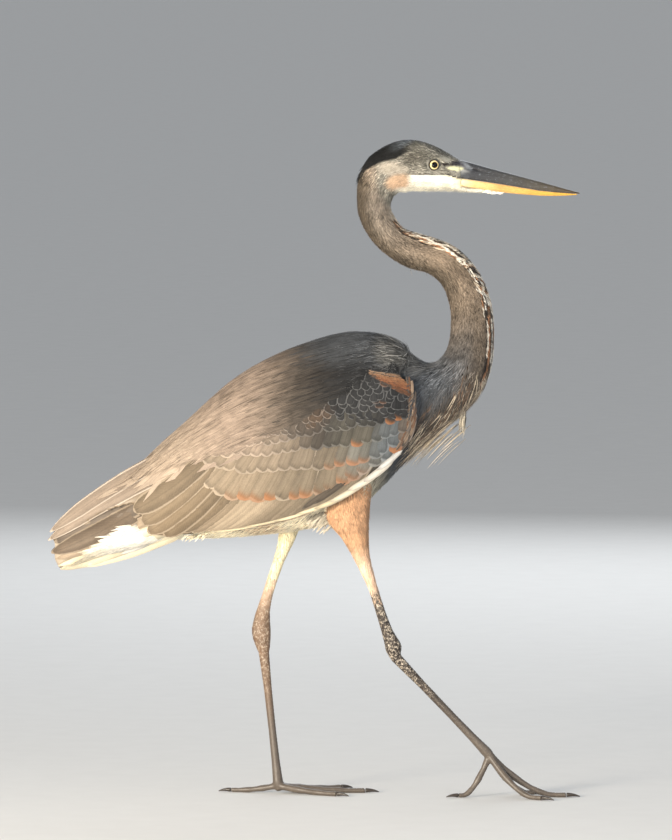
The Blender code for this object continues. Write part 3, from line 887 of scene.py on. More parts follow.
def walked(places, ways, lengths, steps):
    """Centre lines over the form: points and normals for each feather and step."""
    spots, normals = form.nearest(places)
    lines, ups = [spots], [normals]
    for _ in range(steps):
        ways = laid_flat(ways, normals)
        ahead = spots + ways * (lengths / steps)[:, None]
        landed, normals = form.nearest(ahead)
        near = np.linalg.norm(landed - ahead, axis=1) < 4 * MM
        spots = np.where(near[:, None], landed, ahead)
        lines.append(spots)
        ups.append(normals)
    return np.stack(lines, 1), np.stack(ups, 1)


def stripes(lines, ups, heights, widths, outline, ridge, across):
    """Grids of blades round centre lines. The ridge is the middle's height over the edges."""
    side = unit(np.cross(ups, np.gradient(lines, axis=1)))
    middle = lines + ups * heights[..., None]
    wide = (widths[:, None] * outline[None])[..., None, None]
    out = side[:, :, None] * wide / 2 * across[:, None]
    return middle[:, :, None] + out - ups[:, :, None] * wide * ridge * across[:, None] ** 2


BLADE = np.array([0.55, 1.0, 0.82, 0.10])
PLUME = np.array([0.6, 1.0, 0.95, 0.8, 0.5, 0.08])

# %% Tufts
# what a tuft is like where nothing else is said: angles in degrees, the rest in millimetres
TUFT = {"yaw": 10, "lift": 0.0, "wild": 0.25, "ridge": 0.18, "outline": BLADE, "columns": 3}
TUFT |= {"way": tailwards, "recolour": None, "thick": 0.0, "fringe": None, "sink": 0.85}


def tufts(coat, rng, places, numbers, length, width, **changes):
    """Adds tufts that lie on the form. Sizes are in millimetres and angles in degrees."""
    look = TUFT | changes
    count, rows = len(places), len(look["outline"])
    _, normals = form.nearest(places)
    ways = look["way"](places, normals)
    ways = turned(ways, normals, np.radians(rng.normal(0, look["yaw"], count)))
    lengths = length * MM * rng.uniform(0.75, 1.2, count)
    lines, ups = walked(places, ways, lengths, rows - 1)
    share = np.linspace(0, 1, rows)
    sunk = -DEPTH_OF[numbers][:, None] * look["sink"] * (1 - share) ** 0.8
    rise = (look["lift"] + rng.normal(0, look["wild"], count)) * MM
    widths = width * MM * rng.uniform(0.75, 1.25, count)
    across = np.linspace(-1, 1, look["columns"])
    heights = sunk + rise[:, None] * share
    grid = stripes(lines, ups, heights, widths, look["outline"], look["ridge"], across)
    middle = lines[:, rows // 2]
    tint = marking(middle, numbers)
    if look["recolour"]:
        tint = look["recolour"](tint, middle, rng)
    values = {"tint": tint, "root": unrolled(places), "chance": rng.random(count)}
    if look["fringe"]:
        values["fringe"], values["fringed"] = look["fringe"](tint, middle, rng)
    coat.add(grid, share, across, look["thick"] * MM, **values)


def sow(coat, rng, nodes, count, length, width, keep=None, **look):
    """Scatters tufts over some of the form's parts."""
    places, numbers = scatter(rng, nodes, count, keep)
    tufts(coat, rng, places, numbers, length, width, **look)


# %% Loose plumes
def plumes(coat, rng, roots, way, length, width, colour, loose=0.10, droop=0.15):
    """Adds loose feathers that start on the body and leave it. Roots are x, y, z in millimetres."""
    roots = np.array(roots, float) * MM
    count, share = len(roots), np.linspace(0, 1, len(PLUME))
    ways = unit(np.array(way, float) + rng.normal(0, loose, (count, 3)))
    lengths = length * MM * rng.uniform(0.6, 1.15, count)
    lines = roots[:, None] + ways[:, None] * (lengths[:, None] * share)[..., None]
    lines[..., 2] -= droop * lengths[:, None] * share**2
    outwards = np.sign(roots[:, 1] + 1e-9)[:, None, None] * np.array([0.15, 1.0, 0.0])
    ups = unit(np.broadcast_to(outwards, lines.shape))
    across = np.linspace(-1, 1, 3)
    widths = width * MM * rng.uniform(0.7, 1.3, count)
    grid = stripes(lines, ups, np.zeros((count, len(share))), widths, PLUME, 0.1, across)
    tint = np.array(colour) * rng.uniform(0.75, 1.15, (count, 1))
    values = {"tint": tint, "root": unrolled(roots), "chance": rng.random(count)}
    coat.add(grid, share, across, **values)


def cloud(rng, count, centre, size):
    """Random places round a centre, on both sides of the bird. Millimetres."""
    spots = np.array(centre) + rng.normal(0, 1, (count, 3)) * np.array(size)
    spots[1::2, 1] *= -1
    return spots


print("form area, cm2:", round(float(form_areas.sum()) * 1e4))

# %% [markdown]
# ## The head
# The face feathers of a heron are the smallest it has, 4 to 7 mm. They start at the bill and
# stream back round the eye. The bare lore and the eyelids show skin.

# %% Head feathers
EYE = np.array([0.137, 0.724])
LID_REACH = 6.6 * MM


def bare_face(places):
    """1 on the bare skin of the face: the eyelids, the lore and the root of the lower bill."""
    x, z = side_view(places)
    lid = np.linalg.norm(places[:, [0, 2]] - EYE, axis=1) < LID_REACH
    lore = oval(x, z, (161, 720.5), (10, 3.0), -5, 0.2)
    ramus = oval(x, z, (150, 706.0), (27, 4.2), -3, 0.2)
    return np.maximum(np.maximum(lore, ramus), lid * 1.0)


def feathered_face(places):
    """Where face feathers grow."""
    return bare_face(places) < 0.5


def flecked(shade, places, rng):
    """Dark and pale flecks, strong on the crown and face and faint where the head is pale."""
    strength = 0.42 * (1 - 0.9 * ramp(shade.mean(1), 0.25, 0.40))
    strength = strength * (0.35 + 0.65 * ramp(shade.mean(1), 0.02, 0.06))
    return np.minimum(shade * np.exp(rng.normal(0, 1, len(shade)) * strength)[:, None], 0.95)


def on_nape(places):
    """The back of the crown, where the crest starts."""
    return oval(*side_view(places), (56, 722), (7, 8)) > 0.5


def under_throat(places):
    """Under the throat, where the feathers hang a little loose."""
    x, z = side_view(places)
    return ramp(x, 100, 112) * (1 - ramp(z, 696, 700)) > 0.5


CHIN_END = 0.202
rng = np.random.default_rng(11)
head_coat = Coat("coat_head")
face = {"count": 13900, "length": 6.0, "width": 1.0, "keep": feathered_face}
sow(head_coat, rng, ["head"], **face, yaw=9, wild=0.16, ridge=0.12, recolour=flecked)
chin = {"count": 1100, "length": 7.0, "width": 1.2, "keep": lambda places: places[:, 0] < CHIN_END}
sow(head_coat, rng, ["chin"], **chin, yaw=22, wild=0.8, lift=1.1)
throat = {"count": 700, "length": 7.0, "width": 1.1, "keep": under_throat}
sow(head_coat, rng, ["head"], **throat, yaw=16, wild=0.7, lift=1.5)
crest = {"count": 60, "length": 17.0, "width": 1.3, "keep": on_nape}
crest |= {"recolour": lambda shade, places, rng: shade * 0 + CROWN}
sow(head_coat, rng, ["head"], **crest, yaw=5, wild=0.5, lift=1.2)
head_coat.finish(HEAD_COAT)

# %% [markdown]
# ## The neck and the breast
# Neck feathers are narrow and soft, and look like hair from a step away. Down the front run long
# streaks of white, black and rust, coloured by how far round the neck each feather sits. Long
# loose plumes hang from the base of the neck over the breast.

# %% Foreneck streaks
DASH_COLOURS = np.array([
    (0.90, 0.84, 0.74), (0.022, 0.019, 0.018), (0.90, 0.83, 0.71), (0.38, 0.19, 0.10),
    (0.050, 0.040, 0.034), (0.88, 0.80, 0.68), (0.12, 0.072, 0.045), (0.70, 0.58, 0.44),
])


def streaked(shade, places, rng):
    """Broken dashes of white, black and rust down the front of the neck, and pale hairs beside."""
    along, turn, _ = along_spine(places)
    low = ramp(along, 0.25, 0.33)
    lane = np.abs(turn) / (0.085 + 0.015 * low) + 70 * np.minimum(along, 0.29)
    lane = lane + rng.normal(0, 0.05, len(turn))
    row = np.floor(lane).astype(int)
    dash = np.floor(along / (0.010 + 0.055 * low) + row * 0.37).astype(int)
    pick = (row * 3 + dash * 5 + (row * dash) % 3) % len(DASH_COLOURS)
    reach = np.interp(along, (0.145, 0.17, 0.23, 0.29, 0.44), (0.2, 0.85, 0.88, 0.75, 0.78))
    ragged = np.abs(turn) + 0.06 * np.sin(row * 2.1 + dash * 1.7)
    front = ramp(along, 0.145, 0.16) * (1 - ramp(along, 0.43, 0.49)) * (ragged < reach)
    shade = pale_hairs(shade, places, rng)
    return shade + (DASH_COLOURS[pick] - shade) * (front * 0.92)[:, None]


def pale_hairs(shade, places, rng):
    """One feather in six is paler, as worn and fresh feathers lie mixed."""
    pale = (rng.random(len(shade)) < 0.16) * 0.35
    return shade + (shade * 1.6 + 0.05 - shade) * pale[:, None]


def hanging(places, normals):
    """Tailwards, but pulled down by their own weight."""
    return laid_flat(tailwards(places, normals) + (0, 0, -0.9), normals)


# %% [markdown]
# The feathers get longer down the neck. Two coats share it, which keeps each mesh small, and they
# meet in the bend, where no seam shows.

# %% Neck feathers
NECK_BEND = (124, 5, 609)
NECK_TRACTS = (
    # name, parts, number of tufts, their length and their width
    ("coat_neck_upper", ["neck_upper", "neck_middle"], 15500, 10.5, 1.32),
    ("coat_neck_lower", ["neck_lower"], 12000, 15.0, 1.6),
)
for name, nodes, count, length, width in NECK_TRACTS:
    coat = Coat(name)
    sow(coat, rng, nodes, count, length, width, yaw=7, wild=0.3, recolour=streaked)
    if name == "coat_neck_upper":
        spots = cloud(rng, 46, NECK_BEND, (10, 3, 3))
        plumes(coat, rng, spots, (0.7, 0.1, -1.0), 7.5, 0.45, (0.24, 0.215, 0.19), loose=0.35)
    coat.finish(NECK_COAT)


# %% [markdown]
# The plumes at the base of the neck hang loose. Those on the body are long tufts that weight pulls
# down, and those that leave it start from small clouds of places.


# %% Breast feathers
def plume_shade(shade, places, rng):
    """Cream and rusty plumes along the front and under the breast, slate ones at its sides."""
    along, turn, _ = along_spine(places)
    chance = rng.random(len(shade)) + 0.55 * ramp(np.abs(turn), 0.5, 1.3)
    chance = chance + 0.3 * ramp(np.abs(turn), 1.1, 1.7)
    shade = np.where((chance < 0.55)[:, None], (0.54, 0.45, 0.34), shade)
    shade = np.where(((chance > 0.55) & (chance < 0.80))[:, None], (0.175, 0.115, 0.080), shade)
    return shade * rng.uniform(0.8, 1.2, (len(shade), 1))


breast = Coat("coat_breast")
look = {"yaw": 12, "wild": 0.5, "recolour": pale_hairs, "way": hanging}
sow(breast, rng, ["neck_base"], count=7600, length=20.0, width=1.9, **look)
look |= {"outline": PLUME, "wild": 0.9, "lift": 0.6, "sink": 0.3, "recolour": plume_shade}
look |= {"count": 1500, "length": 46.0, "width": 1.5, "keep": lambda places: places[:, 2] < 0.50}
sow(breast, rng, ["neck_lower", "neck_base"], **look)
FORENECK_TUFT, BREAST_FRINGE = (171, 3, 446), (134, 12, 419)
spots = cloud(rng, 70, FORENECK_TUFT, (1.8, 1.5, 5))
plumes(breast, rng, spots, (-0.12, 0, -1.0), 22, 1.3, (0.44, 0.39, 0.31), loose=0.03)
spots = cloud(rng, 110, BREAST_FRINGE, (17, 7, 6))
plumes(breast, rng, spots, (-0.85, 0, -0.66), 42, 0.8, (0.52, 0.43, 0.32), loose=0.05)
breast.finish(BODY_COAT)

# %% [markdown]
# ## The body
# The flanks and the belly carry soft feathers about 20 mm long. The thighs have short ones down
# to where the bare leg starts.


# %% Belly, flanks and thighs
def streaked_belly(shade, places, rng):
    """A few black and rusty streaks in the cream of the belly."""
    dark = (rng.random(len(shade)) < 0.05) * (shade[:, 0] > 0.3) * 0.8
    shade = shade + ((0.10, 0.07, 0.05) - shade) * dark[:, None]
    rusty = oval(*side_view(places), (-58, 307), (26, 7)) * (shade[:, 0] > 0.3)
    return mixed(shade, (0.50, 0.33, 0.20), rusty * rng.random(len(shade)))


def down_the_leg(places, normals):
    """Thigh feathers point down the leg."""
    return laid_flat(plain((0.25, 0, -1.0), places), normals)


SHANKS, THIGHS = ["shank_right", "shank_left"], ["thigh_right", "thigh_left"]
belly = Coat("coat_belly")
flank = {"count": 11000, "length": 20.0, "width": 2.3, "wild": 0.5}
sow(belly, rng, ["trunk"], **flank, recolour=streaked_belly)
FLANK_FLUFF, VENT_FLUFF = (12, 31, 322), (-135, 14, 301)
spots = cloud(rng, 420, FLANK_FLUFF, (9, 3, 5))
plumes(belly, rng, spots, (-1.0, 0.1, -0.8), 11, 1.4, (0.55, 0.49, 0.39), loose=0.15)
spots = cloud(rng, 90, VENT_FLUFF, (8, 5, 2.5))
plumes(belly, rng, spots, (-0.9, 0, -0.5), 9, 1.5, (0.86, 0.76, 0.56), loose=0.3)
belly.finish(BODY_COAT)

thighs = Coat("coat_thighs")
look = {"way": down_the_leg, "yaw": 7, "wild": 0.25}
sow(thighs, rng, THIGHS, count=10500, length=11.0, width=1.4, **look)
look = {"way": down_the_leg, "wild": 0.15, "lift": 0.1}
look["keep"] = lambda places: ramp(places[:, 2], 0.214, 0.258) ** 1.5
sow(thighs, rng, SHANKS, count=2600, length=6.5, width=0.9, **look)
look = {"way": down_the_leg, "yaw": 5, "wild": 0.2, "lift": 0.5, "sink": 0.3}
look["keep"] = lambda places: places[:, 2] < 0.272
sow(thighs, rng, THIGHS, count=1500, length=19.0, width=1.1, **look)
THIGH_FRONT = (57, 34, 326)  # on the right only, so every second place of the cloud is taken
spots = cloud(rng, 90, THIGH_FRONT, (4, 3, 9))[1::2]
plumes(thighs, rng, spots, (0.06, 0, -1.0), 26, 0.8, (0.70, 0.54, 0.40), loose=0.06, droop=0.0)
thighs.finish(BODY_COAT)

# %% [markdown]
# ## The mantle and the scapulars
# The front of the back is dark, with short curved feathers. Behind it lie the scapulars, long
# pointed feathers that hide where the wing joins the body. They are spaced so that no two start
# at one place, and each one's root is sunk under its neighbours, so they shingle by themselves.

# %% Evenly spaced places
BACK_HEADING = np.array([math.cos(math.radians(-148)), 0, math.sin(math.radians(-148))])


def spaced(rng, nodes, spacing, keep=None, stretch=3.0, tries=9000):
    """Random places, none nearer to another than the spacing, or stretch times that along."""
    found, numbers = scatter(rng, nodes, tries, keep)
    cells, chosen = {}, []
    reach = spacing * MM
    along = (found @ BACK_HEADING)[:, None] * BACK_HEADING
    places = found - along * (1 - 1 / stretch)
    for index, place in enumerate(places):
        key = tuple((place // reach).astype(int))
        around = [
            cells.get((key[0] + a, key[1] + b, key[2] + c), ())
            for a in (-1, 0, 1)
            for b in (-1, 0, 1)
            for c in (-1, 0, 1)
        ]
        if all(np.linalg.norm(place - places[j]) > reach for near in around for j in near):
            chosen.append(index)
            cells.setdefault(key, []).append(index)
    return found[chosen], numbers[chosen]


# %% [markdown]
# The mantle's feathers are short and dark. A ramp on the chance of each place thins them out
# towards the rear, where the scapulars begin, so there is no edge.


# %% Mantle
def mantle_shade(shade, places, rng):
    """Dark feathers with pale hair-like ones among them."""
    pale = (rng.random(len(shade)) < 0.07) * 0.22
    shade = shade * rng.uniform(0.85, 1.15, (len(shade), 1))
    return shade + ((0.40, 0.36, 0.32) - shade) * pale[:, None]


mantle = Coat("coat_mantle")
look = {"yaw": 12, "wild": 0.35, "recolour": mantle_shade}
look["keep"] = lambda places: ramp(places[:, 0] / MM, -10, 60)
sow(mantle, rng, ["mantle"], count=11500, length=15.0, width=1.7, **look)
mantle.finish(BACK_COAT)

# %% [markdown]
# A scapular is a lance about 74 mm long with a pale edge. Its tip stands free of the body, so it is
# a closed vane with a front and a back, and not an open blade like a tuft.

# %% Scapulars
LANCE = np.array([0.35, 0.7, 0.92, 1.0, 0.95, 0.8, 0.55, 0.3, 0.04])


def varied(low, high, more=0.0):
    """A rule that makes each feather darker or paler by chance, and then a bit paler."""
    return lambda shade, places, rng: shade * rng.uniform(low, high, (len(shade), 1)) + more


def lance_fringe(tint, places, rng):
    """Pale tan edges, stronger towards the tail."""
    amount = 0.2 + 0.4 * (1 - ramp(places[:, 0] / MM, -140, 0))
    return np.minimum(tint * 1.25 + 0.02, 0.75), amount


def behind_shoulder(places):
    """1 on the back behind the dark mantle."""
    return 1 - ramp(places[:, 0] / MM, 50, 84)


scapulars = Coat("scapulars")
look = {"outline": LANCE, "columns": 5, "yaw": 3, "wild": 0.2, "thick": 0.2, "ridge": 0.04}
look |= {"recolour": varied(0.92, 1.08), "fringe": lance_fringe, "sink": 0.5, "lift": 0.8}
places, numbers = spaced(rng, ["mantle"], 6.5, behind_shoulder)
tufts(scapulars, rng, places, numbers, 74.0, 12.0, **look)
scapulars.finish(SCAPULARS, chart=True)

# %% [markdown]
# Wear frays long feathers until they look like hair. Lines drawn on the lances would stay flat, so
# thin tufts lie over them: most in the lances' shade, and some as shadows.


# %% Hair-like feathers over the scapulars
def on_shoulder(places):
    """1 over the front of the mantle, beside the neck."""
    x, z = side_view(places)
    return ramp(x, 20, 60) * ramp(z, 455, 485)


back = Coat("coat_back")
look = {"yaw": 3, "wild": 0.2, "lift": 1.0, "sink": 0.15, "outline": PLUME, "keep": behind_shoulder}
hairs = {"count": 8200, "length": 38.0, "width": 1.35, "recolour": varied(0.90, 1.12)}
sow(back, rng, ["mantle"], **look | hairs)
shadows = {"count": 420, "length": 62.0, "width": 0.8, "recolour": varied(0.30, 0.60), "lift": 1.5}
sow(back, rng, ["mantle"], **look | shadows)
# pale barbs beside the neck: worn tips, made brighter still as a painted highlight where they catch the
# light
barbs = {"count": 900, "length": 13.0, "width": 0.5, "recolour": varied(1.8, 3.0, 0.03), "lift": 0.7}
sow(back, rng, ["mantle", "neck_base"], **look | barbs | {"yaw": 14, "keep": on_shoulder})
back.finish(BACK_COAT)

# %% [markdown]
# ## The folded wing
# A folded wing is a stack of shingles. Rows of small coverts lie over bigger ones, and these lie
# over the quills. In side view each row is a line of tips. The height of each point comes from
# the solids: rays from the side measure how far out the wing reaches, over a grid.


# %% A height field of the side
class Relief:
    """How far out one side of the bird reaches, over a grid in side view. Millimetres."""

    STEP = 2.5
    EDGE = 25.0

    def __init__(self, nodes, side, blurs=3):
        points, faces, owner = gathered(nodes)
        tree = BVHTree.FromPolygons(points.tolist(), faces.tolist())
        low, high = points.min(0) / MM - self.EDGE, points.max(0) / MM + self.EDGE
        xs, zs = np.arange(low[0], high[0], self.STEP), np.arange(low[2], high[2], self.STEP)
        reach, first = np.full((len(xs), len(zs)), np.nan), np.full((len(xs), len(zs)), -1)
        for i, x in enumerate(xs):
            for j, z in enumerate(zs):
                start = Vector((x * MM, side * 0.3, z * MM))
                spot, _, index, _ = tree.ray_cast(start, Vector((0, -side, 0)))
                if spot:
                    reach[i, j] = spot.y * side / MM
                    first[i, j] = owner[index]
        self.low, self.first = np.array([low[0], low[2]]), first
        self.reach = grown(reach, 14)
        for _ in range(blurs):
            self.reach = box_mean(self.reach)

    def cell(self, x, z):
        """Grid indices and shares for bilinear reading."""
        at = [(v - low) / self.STEP for v, low in zip((x, z), self.low)]
        at = [np.clip(a, 0, size - 1.001) for a, size in zip(at, self.reach.shape)]
        return [a.astype(int) for a in at], [a % 1 for a in at]

    def at(self, x, z):
        """How far out the side reaches at places in side view."""
        (i, j), (u, v) = self.cell(x, z)
        grid = self.reach
        near = grid[i, j] * (1 - u) + grid[i + 1, j] * u
        return near * (1 - v) + (grid[i, j + 1] * (1 - u) + grid[i + 1, j + 1] * u) * v

    def shows(self, x, z, nodes):
        """Whether the outermost solid at a place is one of some nodes."""
        (i, j), _ = self.cell(x, z)
        return np.isin(self.first[i, j], [NUMBER[node] for node in nodes])


def box_mean(grid):
    """The mean of each cell and its eight neighbours."""
    wide = np.pad(grid, 1, mode="edge")
    rows = wide[:-2] + wide[1:-1] + wide[2:]
    return (rows[:, :-2] + rows[:, 1:-1] + rows[:, 2:]) / 9


def grown(grid, rings):
    """Fills empty cells from their neighbours, ring by ring."""
    known = ~np.isnan(grid)
    values = np.where(known, grid, 0.0)
    for _ in range(rings):
        weight = box_mean(known * 1.0)
        total = box_mean(values * known)
        fresh = ~known & (weight > 0)
        values[fresh] = total[fresh] / weight[fresh]
        known = known | fresh
    return values


RELIEFS = {side: Relief([f"wing_{side}", "mantle"], sign) for side, sign in SIDES.items()}
REAR = ["tail", "trunk", "mantle"]
TAILS = {side: Relief([*REAR, f"wing_{side}"], sign) for side, sign in SIDES.items()}
print("half width at the wing, mm:", round(float(RELIEFS["right"].reach.max()), 1))

# %% [markdown]
# One function lays any row. It bends each feather's centre line, spreads the vane to both sides
# in side view, and sets every point on the relief, sunk at the root and raised at the tip.

# %% Vanes in side view
# outlines: places along the vane, and its width there as a share of the widest
ROUND = ([0, 0.12, 0.45, 0.78, 0.88, 0.94, 0.98, 1], [0.5, 0.85, 1.0, 1.0, 0.86, 0.64, 0.36, 0.12])
LONG = ([0, 0.1, 0.5, 0.8, 0.93, 1], [0.5, 0.85, 1.0, 0.85, 0.5, 0.08])
# what a vane is like where nothing else is said: root, tip, roll and thick are in millimetres
VANE = {"bend": 0.0, "root": -1.2, "tip": 0.0, "roll": 0.0, "camber": 0.015, "thick": 0.18}
VANE |= {"rows": 9, "columns": 5, "outline": ROUND, "tint": None, "fringe": None, "fringed": 0.4}
VANE |= {"vary": 0.12, "gain": 1.35, "add": 0.05, "banded": 0.0}


def headed(tips, heading, length):
    """Roots of feathers, from their tips, their headings in degrees and their lengths."""
    angle = np.radians(heading)
    return tips - np.stack([np.cos(angle), np.sin(angle)], 1) * np.reshape(length, (-1, 1))


def vanes(coat, rng, side, roots, tips, width, relief=None, **changes):
    """Adds a row of vanes between roots and tips in side view, in millimetres."""
    look = VANE | changes
    relief = relief or RELIEFS[side]
    count = len(roots)
    share = 1 - (1 - np.linspace(0, 1, look["rows"])) ** 1.5
    across = np.linspace(1, -1, look["columns"]) * (-SIDES[side])
    run = tips - roots
    length = np.linalg.norm(run, axis=1)
    aside = np.stack([-run[:, 1], run[:, 0]], 1)
    arch = (look["bend"] * 4 * share * (1 - share))[:, None]
    centre = roots[:, None] + run[:, None] * share[:, None] + aside[:, None] * arch
    heading = unit(np.gradient(centre, share, axis=1))
    normal = np.stack([-heading[..., 1], heading[..., 0]], -1)
    wide = np.broadcast_to(width, count)[:, None] * np.interp(share, *look["outline"])
    flat = centre[:, :, None] + (normal * wide[..., None] / 2)[:, :, None] * across[:, None]
    lift = look["root"] + (look["tip"] - look["root"]) * share + rng.normal(0, 0.04, (count, 1))
    out = relief.at(flat[..., 0], flat[..., 1]) + lift[..., None]
    out = out + look["roll"] * across + look["camber"] * wide[..., None] * (1 - across**2)
    grid = np.stack([flat[..., 0], SIDES[side] * out, flat[..., 1]], -1) * MM
    middle = grid[:, look["rows"] * 2 // 3, look["columns"] // 2]
    tint = look["tint"]
    if tint is None:
        tint = marking(middle, np.full(count, NUMBER[f"wing_{side}"]))
    luck = rng.uniform(1 - look["vary"], 1 + look["vary"], (count, 1))
    tint = np.broadcast_to(tint, (count, 3)) * luck
    fringe = look["fringe"]
    fringe = np.minimum(tint * look["gain"] + look["add"], 0.85) if fringe is None else fringe
    values = {name: np.broadcast_to(look[name], count) for name in ("fringed", "banded")}
    values |= {"tint": tint, "fringe": np.broadcast_to(fringe, (count, 3))}
    values |= {"chance": rng.random(count), "root": unrolled(grid[:, 0, 0])}
    coat.add(grid, share, across, look["thick"] * MM, **values)


def vane(coat, rng, side, start, end, width, relief=None, **changes):
    """Adds a single vane between two places in side view."""
    vanes(coat, rng, side, np.array([start]), np.array([end]), width, relief, **changes)


def along_line(line, spacing, start=0.0):
    """Places along a bent line, evenly spaced, and each one's share of the way."""
    line = np.array(line, float)
    at = np.concatenate([[0], np.cumsum(np.linalg.norm(np.diff(line, axis=0), axis=1))])
    here = np.arange(start, at[-1] + 1e-6, spacing)
    return between(here, at, line), here / at[-1]


# %% [markdown]
# Only the ends of the quills show, below the coverts and at the wing's point. The secondaries
# follow a line of tips, and each one's root comes from its heading and its length.

# %% Quills: secondaries, tertials and primaries
SECONDARY_LINE = [(12, 338), (-20.6, 325.4), (-50.4, 315), (-76.8, 311.6), (-121, 307), (-140, 306)]
SECONDARY_LINE += [(-165, 303.6), (-185.6, 301.3)]
TERTIALS = (((-104, 362), (-172, 301), 23), ((-110, 374), (-190, 304), 24))
TERTIALS += (((-116, 384), (-197, 315), 25), ((-118, 394), (-206.2, 328.8), 26))
# each primary: its root, its tip and its width
PRIMARIES = (((-142, 384), (-304.5, 292.8), 17), ((-134, 407), (-302.5, 302.5), 18))
QUILL_PALE, PRIMARY_TINT = (0.44, 0.355, 0.26), (0.32, 0.25, 0.192)


def quills(side, rng):
    """The flight feathers of one wing."""
    coat = Coat(f"wing_quills_{side}")
    for layer, (root, tip, width) in enumerate(PRIMARIES):
        look = {"bend": -0.03, "root": -2.0 + 0.3 * layer, "tip": -0.4 + 0.4 * layer, "roll": 0.3}
        look |= {"fringed": 0.6, "fringe": (0.62, 0.53, 0.44), "outline": LONG, "rows": 15}
        vane(coat, rng, side, root, tip, width, TAILS[side], tint=PRIMARY_TINT, **look)
    tips, share = along_line(SECONDARY_LINE, 9.8)
    tips = tips + rng.normal(0, 0.6, tips.shape)
    roots = headed(tips, -130 - 8 * share, 95)
    look = {"bend": 0.06, "root": -2.4, "tip": -1.5, "roll": 0.35, "outline": LONG, "rows": 13}
    vanes(coat, rng, side, roots, tips, 21.0, fringed=0.5, fringe=QUILL_PALE, **look)
    for layer, (root, tip, width) in enumerate(TERTIALS):
        look = {"bend": 0.035, "root": -1.5 + 0.2 * layer, "tip": -0.9 + 0.25 * layer, "roll": 0.25}
        look |= {"outline": ROUND, "rows": 13, "fringed": 0.55, "fringe": QUILL_PALE}
        vane(coat, rng, side, root, tip, width, **look)
    coat.finish(QUILLS, chart=True)


for side in SIDES:
    quills(side, np.random.default_rng(31 if side == "right" else 32))


# %% [markdown]
# Coverts lie in rows, from big ones over the quills up to small ones at the shoulder, each row over
# the one below. Some luck in size and heading keeps them from looking woven.

# %% Coverts
GREATER_LINE = [(92, 398), (50, 373), (20, 356), (0, 347), (-40, 344), (-93.9, 341.8)]
GREATER_LINE += [(-116.9, 352), (-137.5, 364)]
COVERT_ROWS = (
    # line of tips, spacing, width, length, first and last heading, root and tip heights, fringe,
    # and from where to where the tips are rusty
    (GREATER_LINE, 14.5, 24, 52, -98, -128, -1.9, -0.9, 0.75, (-108, 66)),
    ([(100, 409), (70, 392), (41.2, 383), (-7, 379), (-90, 374), (-128, 384)], 13.0, 20, 40)
    + (-100, -124, -1.4, -0.45, 0.6, (8, 60)),
    ([(101, 422), (60, 408), (1, 403), (-50, 396), (-118, 394)], 11.5, 17.5, 34)
    + (-101, -122, -1.1, -0.2, 0.6, (36, 66)),
    ([(104, 435), (60, 428), (-16, 419), (-50, 409), (-104, 402)], 10.2, 15.5, 28)
    + (-101, -120, -0.9, 0.0, 0.6, (84, 100)),
)
LESSER_STEP = np.array([0.6, 5.9])
LESSER_ROWS = 16
WRIST_EDGE = [(112, 470), (114, 448), (112, 428), (106, 410), (98, 398)]
WRIST_TINTS = np.array([(0.18, 0.100, 0.062), (0.27, 0.195, 0.140), (0.10, 0.080, 0.066)])


def coverts(side, rng):
    """The coverts of one wing, from the biggest row up to the scaly shoulder."""
    coat = Coat(f"wing_coverts_{side}")
    for line, gap, width, length, first, last, root, tip, amount, rusty in COVERT_ROWS:
        tips, share = along_line(line, gap, rng.uniform(0, 3))
        tips = tips + rng.normal(0, 1.1, tips.shape)
        heading = first + (last - first) * share + rng.normal(0, 4, len(tips))
        roots = headed(tips, heading, length)
        look = {"root": root, "tip": tip, "bend": 0.02, "roll": 0.15, "gain": 1.45, "add": 0.06}
        here = (tips[:, 0] > rusty[0]) & (tips[:, 0] < rusty[1])
        luck = rng.random(len(tips)) < np.where(here, 0.85, 0.07)
        look["banded"] = luck * rng.uniform(0.15, 0.95, len(tips))
        width = width * rng.uniform(0.9, 1.15, len(tips))
        vanes(coat, rng, side, roots, tips, width, fringed=amount, **look)
    lesser_coverts(coat, side, rng)
    white_edge(coat, side, rng)
    shoulder_patch(coat, side, rng)
    coat.finish(COVERTS, chart=True)


# %% Small coverts
def lesser_coverts(coat, side, rng):
    """Rows of small scaly feathers, and a rusty file of them down the wrist's edge."""
    top = np.array(COVERT_ROWS[-1][0])
    for row in range(1, LESSER_ROWS + 1):
        tips, _ = along_line(top + LESSER_STEP * row, 9.2, (row % 2) * 4.6)
        tips = tips + rng.normal(0, 1.5, tips.shape)
        for ahead in (0, 9):
            tips = tips[RELIEFS[side].shows(tips[:, 0] + ahead, tips[:, 1], [f"wing_{side}"])]
        tips = tips[(tips[:, 0] < 92) | (tips[:, 1] < 462)]
        heading = np.interp(tips[:, 0], (-100, 60, 115), (-124, -106, -88))
        heading = heading + rng.normal(0, 9, len(tips))
        roots = headed(tips, heading, 17)
        look = {"root": -1.2, "tip": 0.15, "rows": 7, "gain": 1.7, "add": 0.062, "camber": 0.012}
        look["fringed"] = 0.8 * (1 - ramp(tips[:, 1], 474, 484))
        look["banded"] = (rng.random(len(tips)) < 0.10) * 0.4 * ramp(tips[:, 0], 60, 95)
        wide = rng.uniform(10.0, 13.0, len(tips))
        vanes(coat, rng, side, roots, tips, wide, vary=0.2, **look)
    tips = np.concatenate([along_line(WRIST_EDGE, 2.4)[0] - (inward, 0) for inward in (5, 0)])
    tips = tips + rng.normal(0, 1.0, tips.shape)
    roots = headed(tips, np.interp(tips[:, 1], (400, 470), (-122, -84)), 14)
    tint = WRIST_TINTS[rng.integers(0, 3, len(tips))]
    look = {"root": -0.6, "tip": 0.1, "outline": LONG, "rows": 7, "fringed": 0.4, "vary": 0.2}
    vanes(coat, rng, side, roots, tips, 2.4, tint=tint, **look)


